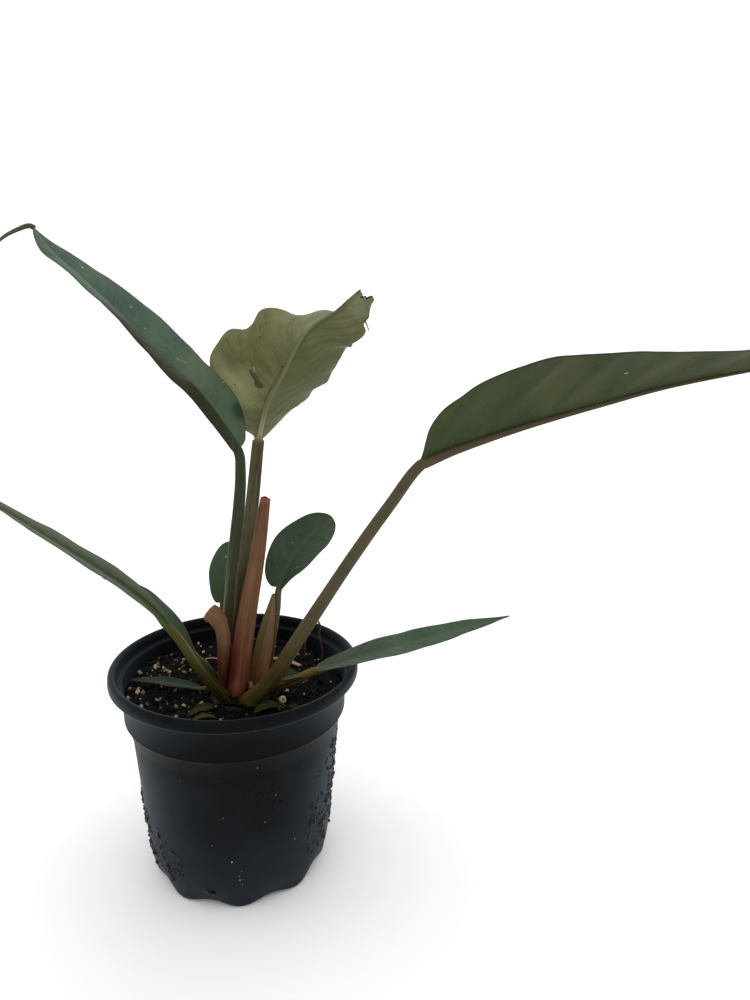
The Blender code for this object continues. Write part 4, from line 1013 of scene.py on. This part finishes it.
def plasticFinish():
    look = dict(front=(2.2, 2.6, 3.2), side=(18, 30, 38), dusty=(20, 25, 30), low=(14, 18, 26),
                wet=(1.5, 1.5, 1.5), shelfShade=(0.4, 1.2, 2.2), roughness=0.45)
    finish = Finish("blackPlastic", specularIorLevel=0.055)
    cloud = finish.noise(45, 4)
    scuff = finish.noise(9, 4, 0.6, (1, 1, 0.35))
    drop = finish.noise(5, 3, 0.6)
    fine = finish.noise(0.9, 2)
    facing = finish.node("ShaderNodeLayerWeight", {}, {"Blend": 0.5}, 1)
    height = finish.node("ShaderNodeSeparateXYZ", {}, {0: finish.node("ShaderNodeTexCoord", out=3)}, 2)
    film = cloud.spread(0.45, 0.75) * 0.2 + scuff.spread(0.62, 0.8) * 0.2
    # The step under the band, which faces up, is darkened: painted shade.
    shelfShade = height.spread(0.08, 0.110) * height.spread(0.1165, 0.118, 1, 0)
    wet = drop.spread(0.6, 0.63) * finish.near((30, -64, 86), 26).spread(0.1, 0.5)
    # Lighter and bluer where the wall turns away from the view: a painted reflection.
    colour = finish.paint(look["front"], [
        (facing.spread(0.15, 0.95) * (1 - shelfShade * 0.55), look["side"]),
        (height.spread(0.005, 0.075, 1, 0) * 0.7, look["low"]),
        (film, look["dusty"]),
        (shelfShade * 0.35, look["shelfShade"]),
        (wet, look["wet"])])
    finish.set(baseColor=colour, roughness=look["roughness"] + film * 0.5 + (fine - 0.5) * 0.1 - wet * 0.25)
    finish.bump(fine * 0.6 + cloud * 0.4, 0.12)


# Each grain's three tones, its rubbed patches, its sheen and its relief in millimetres.
grainLooks = {
    "soilCrumb": dict(tones=((1.2, 1.8, 2.4), (3, 3.4, 3.4), (11, 9, 7)), rubbed=(4.5, 4.2, 3.8),
                      roughness=0.75, depth=0.3, gloss=0.06),
    "paleGrain": dict(tones=((100, 62, 28), (280, 200, 100), (460, 420, 300)), rubbed=(130, 90, 50),
                      roughness=0.8, depth=0.25, gloss=0.12),
    "wetDirt": dict(tones=((1.2, 1.3, 1.5), (2.5, 2.5, 2.6), (12, 11, 10)), rubbed=(2, 2, 2), roughness=0.24,
                    depth=0.4, gloss=0.28),
    "waterBead": dict(tones=((60, 58, 20), (62, 60, 22), (70, 65, 24)), rubbed=(75, 72, 30), roughness=0.1,
                      depth=0.02, gloss=0.12),
    # Pale specks that stand for highlights: painted highlights.
    "glint": dict(tones=((150, 160, 120), (260, 270, 200), (300, 300, 240)), rubbed=(150, 160, 110),
                  roughness=0.3, depth=0.05, gloss=0.4),
    "darkSpeck": dict(tones=((8, 6, 3), (12, 10, 5), (20, 15, 8)), rubbed=(15, 12, 6), roughness=0.6,
                      depth=0.1, gloss=0.12),
}


def grainFinish(name, look):
    finish = Finish(name, specularIorLevel=look["gloss"])
    tone = finish.attribute("tone")
    rub = finish.noise(1.1, 3, 0.7)
    first, second, third = look["tones"]
    colour = finish.paint(first, [(tone.spread(0, 0.5), second), (tone.spread(0.5, 1), third),
                                  (rub.spread(0.4, 0.8) * 0.6, look["rubbed"])])
    finish.set(baseColor=colour, roughness=look["roughness"] + (rub - 0.5) * 0.2)
    finish.bump(rub, look["depth"])


plasticFinish()
for name, look in grainLooks.items():
    grainFinish(name, look)
makePot()


def makeMix():
    # The top is turned flat in fine rings and then raised to its height. The rest fits the pot's inner wall.
    rings = 76
    flat = [(mixSizes["reach"] * i / rings, 126) for i in range(rings + 1)]
    profile = flat + innerWall(0.3)[1:] + [(0, 1.9)]
    mesh = turnProfile(profile, potSizes["sides"])
    tone = mesh.verts.layers.float.new("tone")
    for vert in mesh.verts:
        if vert.co.z > 125.9:
            x, y = vert.co.x, vert.co.y
            crumb = abs(noise.noise(Vector((x, y, 7)) / 2.6))
            crumb += 0.5 * abs(noise.noise(Vector((x, y, 9)) / 1.2))
            rest = noise.noise(Vector((x, y, 20)) / 6)
            vert.co.z = mixHeight(x, y) + 1.6 * crumb + 0.8 * rest - 0.7
            vert[tone] = min(1.0, max(0.0, crumb))
        else:
            vert.co = notched(vert.co)
            vert[tone] = 0.2
    addPiece("potting_mix_finer", mesh, ("soilCrumb",), ("potting_mix",), "potting_mix")


def scatter(name, finish, spots, seed, faces=1):
    # Rough grains, each at a point with its size, flatness and tone, joined a batch at a time.
    draw = random.Random(seed)
    whole = bmesh.new()
    count = mixSizes["batch"]
    for first in range(0, len(spots), count):
        batch = bmesh.new()
        tone = batch.verts.layers.float.new("tone")
        for point, size, flat, shade in spots[first:first + count]:
            turn = Euler([draw.uniform(0, 6.3) for i in range(3)]).to_matrix().to_4x4()
            length = size * draw.uniform(0.7, 1.3)
            shape = Matrix.Diagonal((length, size * draw.uniform(0.6, 1.1), size * flat, 1))
            grain = bmesh.ops.create_icosphere(batch, subdivisions=faces, radius=1,
                                               matrix=Matrix.Translation(point) @ turn @ shape)
            for vert in grain["verts"]:
                vert.co += 0.35 * size * noise.noise_vector(vert.co * 0.9 / size)
                vert[tone] = shade
        joined = bpy.data.meshes.new("batch")
        batch.to_mesh(joined)
        batch.free()
        whole.from_mesh(joined)
        bpy.data.meshes.remove(joined)
    return addPiece(name, whole, (finish,))


def onSoil(draw, lift=0.0, centre=(0, 0), spread=72):
    while True:
        x = centre[0] + draw.uniform(-spread, spread)
        y = centre[1] + draw.uniform(-spread, spread)
        if math.hypot(x, y) < mixSizes["inside"] and math.hypot(x - centre[0], y - centre[1]) < spread:
            return Vector((x, y, mixHeight(x, y) + lift))


def makeCrumbs():
    draw = random.Random(11)
    dark = []
    for i in range(mixSizes["grains"]):
        size = draw.uniform(0.3, 1.1) * (2.2 if draw.random() < 0.05 else 1)
        dark.append((onSoil(draw, 0.2 * size), size, draw.uniform(0.5, 1), draw.random()))
    for i in range(mixSizes["crownGrains"]):
        size = draw.uniform(0.5, 1.5)
        spot = Vector((draw.gauss(5, 5), draw.gauss(-27, 2.2), 129.4 + draw.uniform(0, 1.4)))
        dark.append((spot, size, 0.7, draw.random()))
    scatter("soil_crumbs", "soilCrumb", dark, 1)
    pale = []
    # Each patch's middle, its reach and its number of grains.
    patches = [((-48, 38), 22, 60), ((-60, 14), 14, 30), ((-12, -45), 14, 22), ((0, 0), 72, 150),
               ((20, 40), 30, 22), ((-30, -30), 24, 26), ((-64, -18), 9, 18), ((42, 44), 12, 12)]
    for centre, spread, count in patches:
        for i in range(count):
            size = draw.uniform(0.2, 0.7) if draw.random() < 0.7 else draw.uniform(0.9, 1.9)
            spot = onSoil(draw, 0.3 * size, centre, spread)
            pale.append((spot, size, draw.uniform(0.4, 0.8), draw.random() ** 1.3))
    scatter("pale_grains", "paleGrain", pale, 2, 2)


def onWall(degrees, height, sunk=0.0):
    # A point on the pot's outside, or a little under its skin.
    angle = math.radians(degrees)
    radius = wallRadius(height) - sunk
    return Vector((radius * math.cos(angle), radius * math.sin(angle), height))


def makeWallDirt():
    # Wet clumps of mix stuck to the outside of the pot, a few pale specks, and pale grains on the wet side
    # that are painted highlights.
    draw = random.Random(4)
    # Each patch's middle and spread in degrees, its lowest and highest place and its number of clumps.
    patches = [(0, 5, 22, 108, 80), (-13, 8, 22, 92, 44), (-30, 8, 16, 62, 28), (-160, 4, 26, 66, 20),
               (-146, 8, 18, 52, 26), (-124, 9, 14, 42, 24), (-75, 34, 8, 110, 40)]
    clumps = []
    for middle, wide, low, high, count in patches:
        thin = wide > 30
        for i in range(count):
            angle, height = draw.gauss(middle, wide), draw.uniform(low, high)
            for j in range(1 if thin else draw.choice((1, 2, 4, 8))):
                spot = onWall(angle + draw.gauss(0, 1.2), height, 0.1)
                spot.z += draw.gauss(0, 1.6)
                size = draw.uniform(0.15, 0.4) if thin else draw.uniform(0.5, 1.7)
                clumps.append((spot, size, 0.6, draw.random() ** 2))
    scatter("wall_dirt", "wetDirt", clumps, 6)
    # Pale grains over the wet right side: painted highlights.
    glints = [(draw.gauss(-5, 7), draw.uniform(28, 106), draw.uniform(0.15, 0.34)) for i in range(44)]
    specksAndGlints = [*glints, (-84.5, 39.4, 0.6), (-80.4, 24.6, 0.4), (-80.6, 27.4, 0.25), (-79.4, 31.5, 0.3),
              (-79, 21, 0.3), (-66, 66, 0.3), (-95, 52, 0.3), (-60, 84, 0.35), (-110, 97, 0.3),
              (-70, 108, 0.35), (-47, 44, 0.3), (-88, 73, 0.3)]
    spots = [(onWall(angle, height), size, 0.6, 0.9) for angle, height, size in specksAndGlints]
    scatter("pale_specks_and_glints", "paleGrain", spots, 8, 2)


def makeMarks():
    # Water beads, specks and scars: each at a share of a blade's length and across it, with its length, width
    # and height, turned by degrees from the way ahead. They lie on the side that the photo shows.
    seenBelow = ("top", "right")
    beads = [(0.32, -0.5), (0.4, -0.72), (0.47, -0.6), (0.55, -0.75), (0.52, -0.2), (0.63, -0.5), (0.7, -0.3),
             (0.74, -0.7)]
    marks = {
        "waterBead": {
            "top": [(0.326, 0.2, 3.2, 2.4, 1.2, 100), (0.34, 0.3, 4.4, 1.7, 1.0, 75),
                    (0.485, -0.57, 1.7, 1.3, 0.6, 20)],
            "low_right": [(share, across, 0.7, 0.6, 0.5, 0) for share, across in beads],
        },
        # Pale glints on the water beads and leaves: painted highlights.
        "glint": {
            "top": [(0.358, 0.345, 1.9, 0.5, 0.6, 60), (0.318, 0.27, 2.2, 0.4, 0.5, 105)],
            "upper_left": [(0.611, 0.55, 0.9, 0.5, 0.25, 60), (0.819, 0.55, 0.9, 0.6, 0.2, 30),
                           (0.37, 0.33, 2.2, 0.22, 0.15, 14), (0.35, 0.4, 1.4, 0.2, 0.15, 20),
                           (0.223, 0.93, 0.5, 0.5, 0.2, 0), (0.52, 0.3, 0.5, 0.35, 0.2, 50)],
            "oval_back": [(0.72, -0.25, 1.1, 0.5, 0.2, 80)],
            "oval_right": [(0.5, -0.35, 0.4, 0.3, 0.2, 0), (0.72, 0.4, 0.4, 0.25, 0.2, 60),
                           (0.8, 0.7, 0.7, 0.25, 0.2, 60), (0.3, 0.55, 0.5, 0.3, 0.2, 20)],
            "right": [(0.515, 0.52, 1.2, 0.4, 0.15, 10)],
        },
        "darkSpeck": {
            "top": [(0.485, 0.05, 0.7, 0.5, 0.5, 0), (0.425, -0.03, 1.0, 0.5, 0.5, 20),
                    (0.455, 0.65, 0.5, 0.4, 0.3, 0), (0.26, 0.5, 0.5, 0.4, 0.3, 0),
                    (0.3, 0.62, 0.35, 0.3, 0.3, 0), (0.6, 0.4, 0.35, 0.3, 0.3, 0)],
        },
    }
    for finish, marked in marks.items():
        mesh = bmesh.new()
        tone = mesh.verts.layers.float.new("tone")
        spots = [(name, *spot) for name, found in marked.items() for spot in found]
        for name, share, across, length, width, height, turn in spots:
            blade = made[name]
            row = bisect.bisect_left(blade.shares, share)
            point = blade.place(row, across)[0]
            ahead = (blade.place(row + 1, across)[0] - point).normalized()
            side = squareTo(ahead, blade.place(row, across + 0.02)[0] - point)
            out = side.cross(ahead) * (-1 if name in seenBelow else 1)
            lengthways = Matrix.Rotation(math.radians(turn), 3, out) @ ahead
            shape = Matrix((lengthways * length, lengthways.cross(out) * width, out * height)).transposed()
            centre = Matrix.Translation(point + out * (leafThickness if name in seenBelow else 0))
            bead = bmesh.ops.create_icosphere(mesh, subdivisions=3, radius=1, matrix=centre @ shape.to_4x4())
            for vert in bead["verts"]:
                vert.co += 0.12 * width * noise.noise_vector(vert.co / (1.5 * width))
                vert[tone] = 0.5
        bmesh.ops.recalc_face_normals(mesh, faces=mesh.faces)
        addPiece(f"leaf_{finish}", mesh, (finish,))


def makeCrown():
    middle = (5, -12, 0)
    # The crown stem's radius and height, from its plain foot in the mix up to its rounded top.
    profile = [(0, 96.3), (11, 96.3), (18, 100), (20, 105), (20, 127.5), (19.6, 128.6), (18.6, 129.4),
               (17.4, 129.9), (14, 130), (10, 130), (5, 130), (0, 130)]
    mesh = turnProfile(profile, 96)
    layers = {key: mesh.verts.layers.float.new(key) for key in ("along", "around")}
    for vert in mesh.verts:
        vert[layers["along"]] = max(0.0, (vert.co.z - 120) / 10)
        vert[layers["around"]] = math.atan2(vert.co.y, vert.co.x) / math.tau
        if vert.co.z > 126:
            vert.co.z -= 0.8 * abs(noise.noise(vert.co / 4)) + 2.2 * max(0.0, (vert.co.xy.length - 14) / 6)
        vert.co += Vector(middle)
    addPiece("crown_finer", mesh, ("crownSkin",), ("crown_stem",), "petiole_olive")


def makeLump():
    x, y, radius, lift = 34, -21, 2.6, 2.9
    mesh = bmesh.new()
    bmesh.ops.create_icosphere(mesh, subdivisions=4, radius=radius)
    tone = mesh.verts.layers.float.new("tone")
    hole = Vector((0.3, -0.9, 0.5)).normalized()
    for vert in mesh.verts:
        dip = max(0.0, vert.co.normalized().dot(hole) - 0.9) * 10
        vert[tone] = 1 - min(1.0, dip * 1.6)
        vert.co *= 1 + 0.16 * noise.noise(vert.co * 0.5) - 0.45 * dip ** 0.6
        vert.co += Vector((x, y, soilHeight(x, y) + lift))
    addPiece("pale_lump_finer", mesh, ("paleGrain",), ("pale_lump",), "pale_stone")


makeMix()
makeCrumbs()
makeMarks()
makeWallDirt()
makeCrown()
makeLump()
print("stage: pot and mix made")


# Stage, light and camera

def makeStage():
    look = dict(front=-2.2, back=1.6, curve=0.9, steps=12, wall=3.2, width=3.4)
    mesh = bmesh.new()
    points = [(look["front"], 0), (look["back"], 0)]
    for i in range(1, look["steps"] + 1):
        angle = math.pi / 2 * i / look["steps"]
        points.append((look["back"] + look["curve"] * math.sin(angle), look["curve"] * (1 - math.cos(angle))))
    points.append((look["back"] + look["curve"], look["wall"]))
    verts = [mesh.verts.new((-look["width"], y, z - 0.0003)) for y, z in points]
    edges = [mesh.edges.new(pair) for pair in zip(verts, verts[1:])]
    swept = bmesh.ops.extrude_edge_only(mesh, edges=edges)["geom"]
    moved = [vert for vert in swept if isinstance(vert, bmesh.types.BMVert)]
    bmesh.ops.translate(mesh, vec=(2 * look["width"], 0, 0), verts=moved)
    bmesh.ops.recalc_face_normals(mesh, faces=mesh.faces)
    Finish("palePaper", baseColor=(900, 900, 900), roughness=0.9, specularIorLevel=0.1)
    floor = linkMesh("floor", mesh, ("palePaper",))


def makeLights():
    lights = {
        "overhead": dict(place=(0.1, 0.1, 1.9), aim=(0.05, 0, 0.2), size=2.4, power=12),
        "left": dict(place=(-1.6, 0.2, 0.8), aim=(0, 0, 0.2), size=1.3, power=3),
        "right": dict(place=(1.7, 0.3, 0.8), aim=(0.05, 0, 0.2), size=1.2, power=2),
        "front": dict(place=(-0.5, -1.9, 1.3), aim=(0.05, 0, 0.25), size=1.2, power=3),
        "backdrop": dict(place=(0, 1.1, 1.9), aim=(0, 2.5, 1.0), size=2.0, power=14),
    }
    for name, light in lights.items():
        data = bpy.data.lights.new(name, "AREA")
        data.size = light["size"]
        data.energy = light["power"]
        lamp = bpy.data.objects.new(name, data)
        place = Vector(light["place"])
        lamp.location = place
        lamp.rotation_euler = (Vector(light["aim"]) - place).to_track_quat("-Z", "Y").to_euler()
        bpy.context.scene.collection.objects.link(lamp)
    world = bpy.data.worlds.new("room")
    world.use_nodes = True
    background = world.node_tree.nodes["Background"]
    background.inputs["Color"].default_value = (1, 1, 1, 1)
    background.inputs["Strength"].default_value = 1.0
    bpy.context.scene.world = world
    bpy.context.scene.view_settings.view_transform = "Standard"


def makeCamera():
    # The photo is 1000 pixels high, and its focal length is 752 pixels.
    view = dict(place=(0.09243, -0.46726, 0.37436), down=13.85, roll=0.886, sensor=36, focal=752 / 1000)
    data = bpy.data.cameras.new("camera")
    data.sensor_width = view["sensor"]
    data.lens = view["sensor"] * view["focal"]
    data.clip_start = 0.01
    camera = bpy.data.objects.new("camera", data)
    tilt = Matrix.Rotation(math.radians(90 - view["down"]), 4, "X")
    roll = Matrix.Rotation(math.radians(view["roll"]), 4, "Z")
    camera.matrix_world = Matrix.Translation(view["place"]) @ tilt @ roll
    bpy.context.scene.collection.objects.link(camera)
    bpy.context.scene.camera = camera


makeStage()
makeLights()
makeCamera()
print("stage: lights and camera set")
